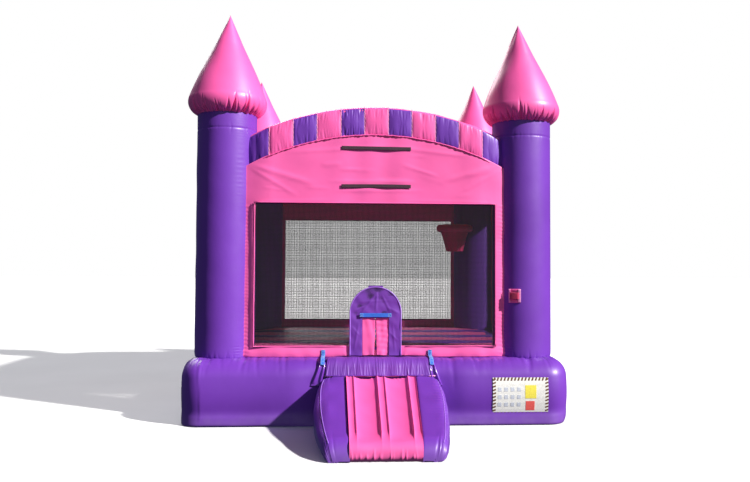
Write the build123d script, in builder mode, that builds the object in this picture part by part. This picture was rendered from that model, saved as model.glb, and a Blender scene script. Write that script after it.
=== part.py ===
"""Inflatable castle bounce house: a square air-filled base with a jumping bed, four corner
columns under cone spires, striped top beams, netted walls, a flap door and an entrance ramp.

Millimetres. The origin is the centre of the base's underside, the entrance faces -Y, +X is to
the right of somebody looking at the entrance, and +Z is up.
"""

import os
from math import asin, atan2, cos, hypot, radians, sin, sqrt

from build123d import *

os.makedirs("parts", exist_ok=True)

# ---------------------------------------------------------------- driving dimensions
HOUSE_WIDE = 3890.0       # footprint of the base, across and from front to back
HOUSE_DEEP = 4000.0
SKIN = 4.0                # skin of every air chamber, hems and seams included
BASE_H = 640.0            # top of the base
BASE_CORNER = 240.0       # plan radius of the base's corners
BASE_TOP_R = 120.0        # rounding of the base's upper edge
BASE_FOOT_R = 80.0        # rounding of the base's lower edge

COLUMN_PITCH = 3100.0     # between column axes, both ways
COLUMN_R = 305.0
SPIRE_BULGE_Z = 3250.0    # height of a spire's widest ring
SPIRE_BULGE_R = 404.0
SPIRE_ROLL_R = 149.0      # section radius of the bulge
SPIRE_TOP = 4200.0        # where the straight flanks would meet
SPIRE_TIP_R = 14.0

WALL_FACE = 1790.0        # outer face of each wall, from the middle
WALL_HALF = 1358.0        # half width of a wall between its columns
BEAM_DEPTH = 300.0
BEAM_LOW = 2585.0         # straight side beams: underside and top
BEAM_HIGH = 2905.0
ARCH_HALF = 1290.0        # half chord that the next four heights belong to
ARCH_LOW_END, ARCH_LOW_CROWN = 2585.0, 2904.0
ARCH_HIGH_END, ARCH_HIGH_CROWN = 2910.0, 3222.0
STRIPE = 243.0            # width of one coloured panel
STRIPES_EACH_SIDE = 5     # panels on each side of the middle one

WINDOW_HALF = 1224.0
WINDOW_LOW, WINDOW_HIGH = 756.0, 2200.0
NET = 3.0                 # thickness of a net panel
NET_LAP = 20.0            # how far a net reaches behind its frame

DOOR_HALF = 258.0         # the arched surround
DOOR_SPRING = 1092.0      # where its sides turn into the arch
DOOR_FOOT = 644.0
DOORWAY_HALF = 134.0
DOORWAY_LOW, DOORWAY_HIGH = 648.0, 1037.0
FLAP_W = 130.0
FLAP_GAP = 1.0            # from the middle of the doorway to a flap's free edge
FLAP_LOW, FLAP_HIGH = 651.0, 1034.0

BED_HALF = 1540.0
BED_CHANNELS = 9
BED_CREST = 18.0          # how far a channel of the bed rises above its seams

RAMP_LEFT, RAMP_RIGHT = -600.0, 660.0
RAMP_PINK_LEFT = -293.0
RAMP_CHANNEL_WIDTHS = (70.0, 230.0, 72.0, 230.0, 76.0)
RAMP_BACK, RAMP_TOE = -2035.0, -3410.0
RAMP_TOP, RAMP_TOE_H = 492.0, 140.0
RAMP_MIDDLE, RAMP_TAPER = 45.0, 0.88    # the toe is this share of the back's width, about x

TUBE_X, TUBE_Z, TUBE_R = 900.0, 154.0, 150.0
TUBE_LENGTH = 920.0

ZIP_X, ZIP_Z, ZIP_LENGTH = -700.0, 300.0, 600.0
ANCHOR_Y, ANCHOR_Z = 1500.0, 180.0

HOOP_X, HOOP_Y, HOOP_Z = 1190.0, 1090.0, 2070.0
HOOP_R, HOOP_TUBE_R = 200.0, 55.0

HALF_WIDE, HALF_DEEP = HOUSE_WIDE / 2, HOUSE_DEEP / 2
COLUMN_AT = COLUMN_PITCH / 2
FRONT = Plane.XZ          # its normal is -Y, so an offset moves it towards the entrance
CORNERS = {
    "front_left": (-COLUMN_AT, -COLUMN_AT),
    "front_right": (COLUMN_AT, -COLUMN_AT),
    "back_left": (-COLUMN_AT, COLUMN_AT),
    "back_right": (COLUMN_AT, COLUMN_AT),
}


def keep(part, name):
    """Label a finished piece and write its STEP file."""
    part.label = name
    export_step(part, f"parts/{name}.step")


def column_clearance():
    """Four posts a little fatter than the columns, for trimming what meets them."""
    with BuildPart() as posts:
        with BuildSketch():
            with GridLocations(COLUMN_PITCH, COLUMN_PITCH, 2, 2):
                Circle(COLUMN_R + 1)
        extrude(amount=SPIRE_TOP)
    return posts.part


COLUMN_POSTS = column_clearance()


# ---------------------------------------------------------------- base
def base_envelope(inset):
    """The base's rounded slab, drawn in by inset on every side."""
    with BuildPart() as slab:
        with BuildSketch(Plane.XY.offset(inset)):
            RectangleRounded(HOUSE_WIDE - 2 * inset, HOUSE_DEEP - 2 * inset, BASE_CORNER - inset)
        extrude(amount=BASE_H - 2 * inset)
        fillet(slab.faces().sort_by(Axis.Z)[-1].edges(), BASE_TOP_R - inset)
        fillet(slab.faces().sort_by(Axis.Z)[0].edges(), BASE_FOOT_R - inset)
    return slab.part


def bed_outline(grow=0.0):
    """Plan of the jumping bed: a square notched round the four columns."""
    with BuildSketch(Plane.XY.offset(BASE_H - 60)) as outline:
        Rectangle(2 * (BED_HALF + grow), 2 * (BED_HALF + grow))
        with GridLocations(COLUMN_PITCH, COLUMN_PITCH, 2, 2):
            Circle(COLUMN_R + 30 - grow, mode=Mode.SUBTRACT)
    return outline.sketch


base_outside = base_envelope(0)
base_inside = base_envelope(SKIN)
GROUND_MARGIN = 150.0     # from the base's sides in to the ground sheet
GROUND_WIDE, GROUND_DEEP = HOUSE_WIDE - 2 * GROUND_MARGIN, HOUSE_DEEP - 2 * GROUND_MARGIN
BED_CUT = 120.0           # height of the block that opens the base's top for the bed
COLUMN_PORT_R = COLUMN_R - 45   # air passage from the base up into a column
TUBE_PORT_R = TUBE_R - 30       # air passage from the inflation tube into the base

with BuildPart() as base_skin:
    add(base_outside)
    add(base_inside, mode=Mode.SUBTRACT)
    extrude(bed_outline(grow=0.5), amount=BED_CUT, mode=Mode.SUBTRACT)
    with BuildSketch(Plane.XY.offset(-SKIN)):
        Rectangle(GROUND_WIDE, GROUND_DEEP)
    extrude(amount=3 * SKIN, mode=Mode.SUBTRACT)
    with BuildSketch(Plane.XY.offset(BASE_H - 3 * SKIN)):
        with GridLocations(COLUMN_PITCH, COLUMN_PITCH, 2, 2):
            Circle(COLUMN_PORT_R)
    extrude(amount=6 * SKIN, mode=Mode.SUBTRACT)
    with BuildSketch(FRONT.offset(-HALF_DEEP - SKIN)):
        with Locations((TUBE_X, TUBE_Z)):
            Circle(TUBE_PORT_R)
    extrude(amount=6 * SKIN, mode=Mode.SUBTRACT)
keep(base_skin.part, "base_skin")

with BuildPart() as ground_sheet:
    with BuildSketch():
        Rectangle(GROUND_WIDE - 1, GROUND_DEEP - 1)
    extrude(amount=SKIN)
keep(ground_sheet.part, "ground_sheet")

CHANNEL = 2 * BED_HALF / BED_CHANNELS
BED_SEAM_Z = BASE_H - 8     # height of the welds between the bed's channels


def bed_channels(first):
    """Every second channel of the bed, from number first, each a crowned strip along X."""
    with BuildPart() as strips:
        with BuildSketch(Plane.YZ.offset(-BED_HALF)):
            for index in range(first, BED_CHANNELS, 2):
                low = -BED_HALF + index * CHANNEL
                high, middle = low + CHANNEL, low + CHANNEL / 2
                with BuildLine():
                    ThreePointArc((low, BED_SEAM_Z), (middle, BED_SEAM_Z + BED_CREST), (high, BED_SEAM_Z))
                    Line((high, BED_SEAM_Z), (high, BED_SEAM_Z - SKIN))
                    ThreePointArc(
                        (high, BED_SEAM_Z - SKIN),
                        (middle, BED_SEAM_Z + BED_CREST - SKIN),
                        (low, BED_SEAM_Z - SKIN),
                    )
                    Line((low, BED_SEAM_Z - SKIN), (low, BED_SEAM_Z))
                make_face()
        extrude(amount=2 * BED_HALF)
        extrude(bed_outline(), amount=BED_CUT, mode=Mode.INTERSECT)
    return strips.part


keep(bed_channels(0), "jump_bed_pink")
keep(bed_channels(1), "jump_bed_purple")

BAFFLE_HALF = 1480.0
BAFFLE_HIGH = BED_SEAM_Z - 6
BAFFLE_T = 3.0
BAFFLE_HOLES, BAFFLE_HOLE_R, BAFFLE_HOLE_PITCH = 6, 85.0, 460.0
with BuildPart() as base_baffles:
    for index in range(1, BED_CHANNELS):
        seam_y = -BED_HALF + index * CHANNEL
        with BuildSketch(FRONT.offset(-seam_y)):
            with Locations((0, (BAFFLE_HIGH + SKIN) / 2)):
                Rectangle(2 * BAFFLE_HALF, BAFFLE_HIGH - SKIN - 1)
                with GridLocations(BAFFLE_HOLE_PITCH, 1, BAFFLE_HOLES, 1):
                    Circle(BAFFLE_HOLE_R, mode=Mode.SUBTRACT)
        extrude(amount=BAFFLE_T / 2, both=True)
keep(base_baffles.part, "base_baffles")


# ---------------------------------------------------------------- columns and spires
def spire_solid(inset):
    """A turned spire: a rolled bulge at the foot, then straight flanks to a rounded tip."""
    roll_at = SPIRE_BULGE_R - SPIRE_ROLL_R
    roll = SPIRE_ROLL_R - inset
    neck_r = COLUMN_R - 5 - inset
    neck_z = SPIRE_BULGE_Z - sqrt(roll**2 - (neck_r - roll_at) ** 2)
    point_z = SPIRE_TOP - 2.4 * inset
    reach = hypot(roll_at, point_z - SPIRE_BULGE_Z)
    lean = atan2(roll_at, point_z - SPIRE_BULGE_Z) + asin(roll / reach)
    touch_r = roll_at + roll * cos(lean)
    touch_z = SPIRE_BULGE_Z + roll * sin(lean)
    tip_r = SPIRE_TIP_R
    tip_z = point_z - tip_r / sin(lean)
    with BuildPart() as body:
        with BuildSketch(Plane.XZ):
            with BuildLine():
                Line((0, neck_z), (neck_r, neck_z))
                ThreePointArc((neck_r, neck_z), (roll_at + roll, SPIRE_BULGE_Z), (touch_r, touch_z))
                Line((touch_r, touch_z), (tip_r * cos(lean), tip_z + tip_r * sin(lean)))
                ThreePointArc(
                    (tip_r * cos(lean), tip_z + tip_r * sin(lean)),
                    (tip_r * sin(radians(45)), tip_z + tip_r * cos(radians(45))),
                    (0, tip_z + tip_r),
                )
                Line((0, tip_z + tip_r), (0, neck_z))
            make_face()
        revolve(axis=Axis.Z)
    return body.part, neck_z


spire_outside, SPIRE_FOOT_Z = spire_solid(0)
spire_inside, _ = spire_solid(SKIN)
with BuildPart() as spire:
    add(spire_outside)
    add(spire_inside, mode=Mode.SUBTRACT)
    with BuildSketch(Plane.XY.offset(SPIRE_FOOT_Z - 5)):
        Circle(COLUMN_R - 9)
    extrude(amount=10, mode=Mode.SUBTRACT)

for corner, (x, y) in CORNERS.items():
    with BuildPart() as column:
        with BuildSketch(Plane.XY.offset(BASE_H)):
            with Locations((x, y)):
                Circle(COLUMN_R)
                Circle(COLUMN_R - SKIN, mode=Mode.SUBTRACT)
        extrude(amount=SPIRE_FOOT_Z - BASE_H)
    keep(column.part, f"column_{corner}")
    with BuildPart() as placed_spire:
        with Locations((x, y, 0)):
            add(spire.part)
    keep(placed_spire.part, f"spire_{corner}")


# ---------------------------------------------------------------- top beams and their stripes
def arc_height(x, end, crown):
    """Height at x of the arch line that is crown high in the middle and end high at ARCH_HALF."""
    rise = crown - end
    radius = (ARCH_HALF**2 + rise**2) / (2 * rise)
    return crown - radius + sqrt(radius**2 - x**2)


def arch_low(x):
    """Height of the arch beam's underside at x."""
    return arc_height(x, ARCH_LOW_END, ARCH_LOW_CROWN)


def arch_high(x):
    """Height of the arch beam's top at x."""
    return arc_height(x, ARCH_HIGH_END, ARCH_HIGH_CROWN)


def flat_low(_):
    """Height of a side beam's underside."""
    return BEAM_LOW


def flat_high(_):
    """Height of a side beam's top."""
    return BEAM_HIGH


def band(plane, left, right, low, high, inset=0.0):
    """Face on a plane between two height lines, from left to right."""
    middle = (left + right) / 2

    with BuildSketch(plane) as outline:
        with BuildLine():
            for height, start, end, shift in ((low, left, right, inset), (high, right, left, -inset)):
                first, last = (start, height(start) + shift), (end, height(end) + shift)
                halfway = (middle, height(middle) + shift)
                if abs(halfway[1] - (first[1] + last[1]) / 2) < 0.001:
                    Line(first, last)
                else:
                    ThreePointArc(first, halfway, last)
            Line((right, low(right) + inset), (right, high(right) - inset))
            Line((left, high(left) - inset), (left, low(left) + inset))
        make_face()
    return outline.sketch


def stripe_panels(plane, low, high, centre_colour):
    """The outer skins of a beam in one colour: the middle panel's, or the colour between."""
    with BuildPart() as panels:
        for index in range(-STRIPES_EACH_SIDE, STRIPES_EACH_SIDE + 1):
            if (index % 2 == 0) == centre_colour:
                left = -WALL_HALF if index == -STRIPES_EACH_SIDE else (index - 0.5) * STRIPE
                right = WALL_HALF if index == STRIPES_EACH_SIDE else (index + 0.5) * STRIPE
                extrude(band(plane, left, right, low, high), amount=-SKIN)
        add(COLUMN_POSTS, mode=Mode.SUBTRACT)
    return panels.part


def beam_sleeve(plane, low, high):
    """The top, back and underside skins of a beam, behind its striped face."""
    with BuildPart() as sleeve:
        extrude(band(plane, -WALL_HALF, WALL_HALF, low, high), amount=-(BEAM_DEPTH - SKIN))
        inner = band(plane, -WALL_HALF - 1, WALL_HALF + 1, low, high, inset=SKIN)
        extrude(inner, amount=-(BEAM_DEPTH - 2 * SKIN), mode=Mode.SUBTRACT)
        add(COLUMN_POSTS, mode=Mode.SUBTRACT)
    return sleeve.part


FRONT_WALL = FRONT.offset(WALL_FACE)
RIGHT_WALL = Plane.YZ.offset(WALL_FACE)


def skin_behind(plane):
    """The plane just inside a wall's outer skin."""
    return plane.offset(-SKIN)


def write_pair(part, about, name, twin_name):
    """Write a piece and its mirror image on the opposite wall."""
    keep(part, name)
    with BuildPart() as twin:
        mirror(part, about=about)
    keep(twin.part, twin_name)


FRONT_TO_BACK = Plane.XZ
RIGHT_TO_LEFT = Plane.YZ
write_pair(
    beam_sleeve(skin_behind(FRONT_WALL), arch_low, arch_high),
    FRONT_TO_BACK, "front_arch_sleeve", "back_arch_sleeve",
)
write_pair(
    stripe_panels(FRONT_WALL, arch_low, arch_high, True),
    FRONT_TO_BACK, "front_arch_pink", "back_arch_pink",
)
write_pair(
    stripe_panels(FRONT_WALL, arch_low, arch_high, False),
    FRONT_TO_BACK, "front_arch_purple", "back_arch_purple",
)
write_pair(
    beam_sleeve(skin_behind(RIGHT_WALL), flat_low, flat_high),
    RIGHT_TO_LEFT, "right_beam_sleeve", "left_beam_sleeve",
)
for colour, is_centre in (("pink", True), ("purple", False)):
    with BuildPart() as side_stripes:
        add(stripe_panels(RIGHT_WALL, flat_low, flat_high, is_centre))
        mirror(about=RIGHT_TO_LEFT)
    keep(side_stripes.part, f"side_beam_{colour}")

# ---------------------------------------------------------------- roof
ROOF_HALF = WALL_FACE - BEAM_DEPTH
ROOF_DROP = 50.0          # from the arch beams' top down to the roof


def roof_height(x):
    """Height of the roof sheet's top at x."""
    return arch_high(x) - ROOF_DROP


def roof_under(x):
    """Height of the roof sheet's underside at x."""
    return roof_height(x) - SKIN


with BuildPart() as roof_cover:
    vault = band(FRONT.offset(ROOF_HALF), -ROOF_HALF, ROOF_HALF, roof_under, roof_height)
    extrude(vault, amount=-2 * ROOF_HALF)
    add(COLUMN_POSTS, mode=Mode.SUBTRACT)
keep(roof_cover.part, "roof_cover")


# ---------------------------------------------------------------- walls
WALL_LOW = BASE_H + 1
DOOR_CUT_HALF = DOORWAY_HALF + 2


def wall_frame(plane, top, has_door):
    """A wall's vinyl frame round its window, up to the beam's underside."""
    def foot(_):
        return WALL_LOW

    with BuildPart() as frame:
        extrude(band(plane, -WALL_HALF, WALL_HALF, foot, top), amount=-SKIN)
        with BuildSketch(plane):
            with Locations((0, (WINDOW_LOW + WINDOW_HIGH) / 2)):
                Rectangle(2 * WINDOW_HALF, WINDOW_HIGH - WINDOW_LOW)
            if has_door:
                with Locations((0, WINDOW_LOW)):
                    Rectangle(2 * DOOR_CUT_HALF, 2 * (WINDOW_LOW - WALL_LOW + 1))
        extrude(amount=-SKIN, mode=Mode.SUBTRACT)
        add(COLUMN_POSTS, mode=Mode.SUBTRACT)
    return frame.part


def wall_net(plane, has_door):
    """A wall's net, sewn behind its frame."""
    low, high = WINDOW_LOW - NET_LAP, WINDOW_HIGH + NET_LAP
    with BuildPart() as net:
        with BuildSketch(skin_behind(plane)):
            with Locations((0, (low + high) / 2)):
                Rectangle(2 * (WINDOW_HALF + NET_LAP), high - low)
            if has_door:
                with Locations((0, low)):
                    Rectangle(2 * DOOR_CUT_HALF, 2 * (DOORWAY_HIGH - low), mode=Mode.SUBTRACT)
        extrude(amount=-NET)
    return net.part


BACK_WALL = Plane.XZ.offset(-WALL_FACE + SKIN)
keep(wall_frame(FRONT_WALL, arch_low, True), "front_fascia")
keep(wall_frame(BACK_WALL, arch_low, False), "back_fascia")
keep(wall_net(FRONT_WALL, True), "front_netting")
with BuildPart() as back_netting:
    mirror(wall_net(FRONT_WALL, False), about=FRONT_TO_BACK)
keep(back_netting.part, "back_netting")
write_pair(wall_frame(RIGHT_WALL, flat_low, False), RIGHT_TO_LEFT, "right_fascia", "left_fascia")
write_pair(wall_net(RIGHT_WALL, False), RIGHT_TO_LEFT, "right_netting", "left_netting")

STRIP_HALF, STRIP_H, STRIP_T = 355.0, 50.0, 3.0
STRIP_HEIGHTS = (2376.0, 2767.0)
with BuildPart() as hook_strips:
    with BuildSketch(FRONT_WALL):
        with Locations(*[(0, z) for z in STRIP_HEIGHTS]):
            Rectangle(2 * STRIP_HALF, STRIP_H)
    extrude(amount=STRIP_T)
keep(hook_strips.part, "hook_strips")

# ---------------------------------------------------------------- door
with BuildPart() as door_surround:
    with BuildSketch(FRONT_WALL):
        with Locations((0, (DOOR_FOOT + DOOR_SPRING) / 2)):
            Rectangle(2 * DOOR_HALF, DOOR_SPRING - DOOR_FOOT)
        with Locations((0, DOOR_SPRING)):
            Circle(DOOR_HALF)
        with Locations((0, (DOORWAY_LOW + DOORWAY_HIGH) / 2 - 5)):
            Rectangle(2 * DOORWAY_HALF, DOORWAY_HIGH - DOORWAY_LOW + 10, mode=Mode.SUBTRACT)
    extrude(amount=SKIN)
keep(door_surround.part, "door_surround")

for side, sign in (("left", -1), ("right", 1)):
    with BuildPart() as door_flap:
        with BuildSketch(FRONT_WALL):
            with Locations((sign * (FLAP_GAP + FLAP_W / 2), (FLAP_LOW + FLAP_HIGH) / 2)):
                Rectangle(FLAP_W, FLAP_HIGH - FLAP_LOW)
        extrude(amount=SKIN)
    keep(door_flap.part, f"door_flap_{side}")

HEADER_W, HEADER_H, HEADER_Z, HEADER_T = 320.0, 40.0, 1066.0, 3.0
with BuildPart() as door_header:
    with BuildSketch(FRONT_WALL.offset(SKIN)):
        with Locations((0, HEADER_Z)):
            Rectangle(HEADER_W, HEADER_H)
    extrude(amount=HEADER_T)
keep(door_header.part, "door_header")


# ---------------------------------------------------------------- entrance ramp
RAMP_EDGE_R = 48.0        # rounding of the side profile
BOLSTER_EDGE_R = 44.0     # rounding of a bolster's outer side
CHANNEL_GAP = 0.4         # between one channel of the ramp and the next


def ramp_section(plane, inset):
    """Side profile of the ramp: upright back, sloping top and rounded toe, drawn in by inset."""
    with BuildSketch(plane) as profile:
        with BuildLine():
            Polyline(
                (RAMP_BACK, 0), (RAMP_BACK, RAMP_TOP), (RAMP_TOE, RAMP_TOE_H), (RAMP_TOE, 0), close=True,
            )
        make_face()
        fillet(profile.vertices(), RAMP_EDGE_R)
        if inset:
            offset(amount=-inset)
    return profile.sketch


def ramp_plan(left, right):
    """Plan of a strip of the ramp, between two places on its back edge, narrowing to the toe."""
    toe_left, toe_right = (RAMP_MIDDLE + RAMP_TAPER * (x - RAMP_MIDDLE) for x in (left, right))
    with BuildSketch() as outline:
        with BuildLine():
            Polyline(
                (left, RAMP_BACK + 1), (right, RAMP_BACK + 1), (toe_right, RAMP_TOE - 1),
                (toe_left, RAMP_TOE - 1), close=True,
            )
        make_face()
    return outline.sketch


def ramp_block(left, right, inset, edge_r, outer_side):
    """A solid strip of the ramp with one rounded side: 0 for its left side, -1 for its right."""
    with BuildPart() as block:
        extrude(ramp_section(Plane.YZ.offset(RAMP_LEFT), inset), amount=RAMP_RIGHT - RAMP_LEFT)
        extrude(ramp_plan(left, right), amount=RAMP_TOP, mode=Mode.INTERSECT)
        fillet(block.faces().sort_by(Axis.X)[outer_side].edges(), edge_r)
    return block.part


RAMP_PINK_RIGHT = RAMP_PINK_LEFT + sum(RAMP_CHANNEL_WIDTHS)
with BuildPart() as ramp_left_bolster:
    add(ramp_block(RAMP_LEFT, RAMP_PINK_LEFT, 0, BOLSTER_EDGE_R, 0))
    hollow = ramp_block(RAMP_LEFT + SKIN, RAMP_PINK_LEFT, SKIN, BOLSTER_EDGE_R - SKIN, 0)
    add(hollow, mode=Mode.SUBTRACT)
keep(ramp_left_bolster.part, "ramp_left_bolster")

with BuildPart() as ramp_right_bolster:
    add(ramp_block(RAMP_PINK_RIGHT, RAMP_RIGHT, 0, BOLSTER_EDGE_R, -1))
    hollow = ramp_block(RAMP_PINK_RIGHT, RAMP_RIGHT - SKIN, SKIN, BOLSTER_EDGE_R - SKIN, -1)
    add(hollow, mode=Mode.SUBTRACT)
keep(ramp_right_bolster.part, "ramp_right_bolster")

with BuildPart() as ramp_channels:
    across = Plane.YZ.offset(RAMP_PINK_LEFT)
    extrude(ramp_section(across, 0), amount=RAMP_PINK_RIGHT - RAMP_PINK_LEFT)
    extrude(ramp_section(across, SKIN), amount=RAMP_PINK_RIGHT - RAMP_PINK_LEFT, mode=Mode.SUBTRACT)
    with BuildPart(mode=Mode.PRIVATE) as lanes:
        left = RAMP_PINK_LEFT
        for width in RAMP_CHANNEL_WIDTHS:
            extrude(ramp_plan(left + CHANNEL_GAP / 2, left + width - CHANNEL_GAP / 2), amount=RAMP_TOP)
            left += width
    add(lanes.part, mode=Mode.INTERSECT)
keep(ramp_channels.part, "ramp_channels")

EDGE_Y, EDGE_Z = -(HALF_DEEP - BASE_TOP_R), BASE_H - BASE_TOP_R


def over_edge(radius, lift):
    """Point on a circle round the base's upper front edge, lift degrees above level."""
    return (EDGE_Y - radius * cos(radians(lift)), EDGE_Z + radius * sin(radians(lift)))


def draped_strip(plane, start, lift, drop, rise=0.0):
    """Side profile of a strip that lies on the base's top from y = start and bends over its
    front edge, down to lift degrees above level and then straight on by drop. With rise it
    first runs up the wall by that much."""
    inner_r, outer_r = BASE_TOP_R, BASE_TOP_R + SKIN
    tilt = radians(lift)
    inner_end, outer_end = over_edge(inner_r, lift), over_edge(outer_r, lift)
    inner_hem = (inner_end[0] - drop * sin(tilt), inner_end[1] - drop * cos(tilt))
    outer_hem = (outer_end[0] - drop * sin(tilt), outer_end[1] - drop * cos(tilt))
    with BuildSketch(plane) as profile:
        with BuildLine():
            if rise:
                Polyline(
                    (start, BASE_H + SKIN), (start, BASE_H + rise), (start + SKIN, BASE_H + rise),
                    (start + SKIN, BASE_H), (EDGE_Y, BASE_H),
                )
            else:
                Polyline((start, BASE_H + SKIN), (start, BASE_H), (EDGE_Y, BASE_H))
            ThreePointArc((EDGE_Y, BASE_H), over_edge(inner_r, (lift + 90) / 2), inner_end)
            Polyline(inner_end, inner_hem, outer_hem, outer_end)
            ThreePointArc(outer_end, over_edge(outer_r, (lift + 90) / 2), (EDGE_Y, BASE_H + SKIN))
            Line((EDGE_Y, BASE_H + SKIN), (start, BASE_H + SKIN))
        make_face()
    return profile.sketch


APRON_LEFT, APRON_RIGHT = -470.0, 510.0
APRON_START = -WALL_FACE - 10
APRON_LIFT, APRON_DROP = 20, 74     # where it leaves the edge, in degrees, and its run from there
with BuildPart() as ramp_apron:
    apron_side = draped_strip(Plane.YZ.offset(APRON_LEFT), APRON_START, APRON_LIFT, APRON_DROP)
    extrude(apron_side, amount=APRON_RIGHT - APRON_LEFT)
keep(ramp_apron.part, "ramp_apron")

TAB_CENTRES, TAB_W = (-526.0, 554.0), 55.0
TAB_LIFT, TAB_DROP, TAB_RISE = 30, 4, 75
with BuildPart() as ramp_tabs:
    for x in TAB_CENTRES:
        tab_plane = Plane.YZ.offset(x - TAB_W / 2)
        tab_side = draped_strip(tab_plane, -WALL_FACE - SKIN, TAB_LIFT, TAB_DROP, rise=TAB_RISE)
        extrude(tab_side, amount=TAB_W)
keep(ramp_tabs.part, "ramp_tabs")

TONGUE_TOP, TONGUE_LOW = 572.0, 392.0
TONGUE_HALF_TOP, TONGUE_HALF_LOW, TONGUE_SPREAD = 34.0, 40.0, 22.0
with BuildPart() as ramp_tongues:
    with BuildSketch(FRONT.offset(HALF_DEEP + 0.5)):
        for x, outward in zip(TAB_CENTRES, (-1, 1)):
            foot_x = x + TONGUE_SPREAD * outward
            with BuildLine():
                Polyline(
                    (x - TONGUE_HALF_TOP, TONGUE_TOP), (x + TONGUE_HALF_TOP, TONGUE_TOP),
                    (foot_x + TONGUE_HALF_LOW, TONGUE_LOW), (foot_x - TONGUE_HALF_LOW, TONGUE_LOW),
                    close=True,
                )
            make_face()
    extrude(amount=SKIN)
keep(ramp_tongues.part, "ramp_tongues")

# ---------------------------------------------------------------- inflation tube
with BuildPart() as inflation_tube:
    with BuildSketch(FRONT.offset(-HALF_DEEP)):
        with Locations((TUBE_X, TUBE_Z)):
            Circle(TUBE_R)
            Circle(TUBE_R - SKIN, mode=Mode.SUBTRACT)
    extrude(amount=-TUBE_LENGTH)
keep(inflation_tube.part, "inflation_tube")

STRAP_FROM_END, STRAP_W, STRAP_T = 130.0, 40.0, 2.5
STRAP_Y = HALF_DEEP + TUBE_LENGTH - STRAP_FROM_END
with BuildPart() as tube_tie_strap:
    with BuildSketch(FRONT.offset(-STRAP_Y)):
        with Locations((TUBE_X, TUBE_Z)):
            Circle(TUBE_R + STRAP_T)
            Circle(TUBE_R, mode=Mode.SUBTRACT)
    extrude(amount=-STRAP_W)
keep(tube_tie_strap.part, "tube_tie_strap")

BUCKLE_L, BUCKLE_W, BUCKLE_T, BUCKLE_R = 64.0, 52.0, 7.0, 8.0
BUCKLE_SLOT_L, BUCKLE_SLOT_W, BUCKLE_SLOT_AT = 40.0, 14.0, 14.0
with BuildPart() as tie_strap_buckle:
    with BuildSketch(Plane.XY.offset(TUBE_Z + TUBE_R + STRAP_T)):
        with Locations((TUBE_X, STRAP_Y + STRAP_W / 2)):
            RectangleRounded(BUCKLE_L, BUCKLE_W, BUCKLE_R)
            with GridLocations(2 * BUCKLE_SLOT_AT, 1, 2, 1):
                RectangleRounded(BUCKLE_SLOT_W, BUCKLE_SLOT_L, 3, mode=Mode.SUBTRACT)
    extrude(amount=BUCKLE_T)
keep(tie_strap_buckle.part, "tie_strap_buckle")

# ---------------------------------------------------------------- deflation zip
TAPE_MARGIN, TAPE_H, TAPE_T = 40.0, 60.0, 3.0
TEETH_H, TEETH_T = 8.0, 2.0
ZIP_FLAP_HIGH, ZIP_FLAP_LOW = 355.0, 245.0
ZIP_FLAP_STAND = 23.0     # from the base's back face out to the flap's outer face
ZIP_FLAP_W = ZIP_LENGTH + 100
HEM_H, HEM_LIFT = 22.0, 14.0
BACK_FACE = FRONT.offset(-HALF_DEEP)
with BuildPart() as zip_surround:
    with BuildSketch(BACK_FACE):
        with Locations((ZIP_X, ZIP_Z)):
            Rectangle(ZIP_LENGTH + TAPE_MARGIN, TAPE_H)
    extrude(amount=-TAPE_T)
    with BuildSketch(BACK_FACE.offset(-TAPE_T)):
        with Locations((ZIP_X, ZIP_Z)):
            Rectangle(ZIP_LENGTH, TEETH_H)
    extrude(amount=-TEETH_T)
    with BuildSketch(BACK_FACE):
        with Locations((ZIP_X, ZIP_FLAP_HIGH + HEM_LIFT)):
            Rectangle(ZIP_FLAP_W, HEM_H)
    extrude(amount=-ZIP_FLAP_STAND)
keep(zip_surround.part, "zip_surround")

SLIDER_L, SLIDER_H, SLIDER_T = 34.0, 22.0, 7.0
PULL_L, PULL_W, PULL_T, PULL_HOLE_R = 44.0, 12.0, 2.0, 3.0
SLIDER_PLANE = BACK_FACE.offset(-TAPE_T - TEETH_T - 0.5)
ZIP_START = ZIP_X + ZIP_LENGTH / 2 - 25
with BuildPart() as zip_slider:
    with BuildSketch(SLIDER_PLANE):
        with Locations((ZIP_START, ZIP_Z)):
            RectangleRounded(SLIDER_L, SLIDER_H, 5)
    extrude(amount=-SLIDER_T)
    with BuildSketch(SLIDER_PLANE.offset(-SLIDER_T)):
        with Locations((ZIP_START, ZIP_Z - 16)):
            RectangleRounded(PULL_W, PULL_L, 5)
            with Locations((0, -13)):
                Circle(PULL_HOLE_R, mode=Mode.SUBTRACT)
    extrude(amount=-PULL_T)
keep(zip_slider.part, "zip_slider")

with BuildPart() as zip_flap:
    with BuildSketch(BACK_FACE.offset(-ZIP_FLAP_STAND + SKIN)):
        with Locations((ZIP_X, (ZIP_FLAP_HIGH + ZIP_FLAP_LOW) / 2)):
            RectangleRounded(ZIP_FLAP_W, ZIP_FLAP_HIGH - ZIP_FLAP_LOW, 12)
    extrude(amount=-SKIN)
keep(zip_flap.part, "zip_flap")

# ---------------------------------------------------------------- ground anchors
PATCH = 140.0
LOOP_R, LOOP_BORE = 9.5, 6.5
LOOP_X = HALF_WIDE + SKIN + LOOP_R
LOOP_W, LOOP_T = 44.0, 3.0
LOOP_TAIL, LOOP_TAIL_UP = 56.0, 22.0      # the webbing that holds a loop: length, middle above it
RING_WIRE, RING_HALF, RING_LEG = 5.0, 32.0, 12.0
SIDE_FACE = Plane.YZ.offset(HALF_WIDE)

with BuildPart() as anchor_patches:
    with BuildSketch(SIDE_FACE):
        with Locations((-ANCHOR_Y, ANCHOR_Z), (ANCHOR_Y, ANCHOR_Z)):
            RectangleRounded(PATCH, PATCH, 20)
    extrude(amount=SKIN)
    mirror(about=RIGHT_TO_LEFT)
keep(anchor_patches.part, "anchor_patches")

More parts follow.
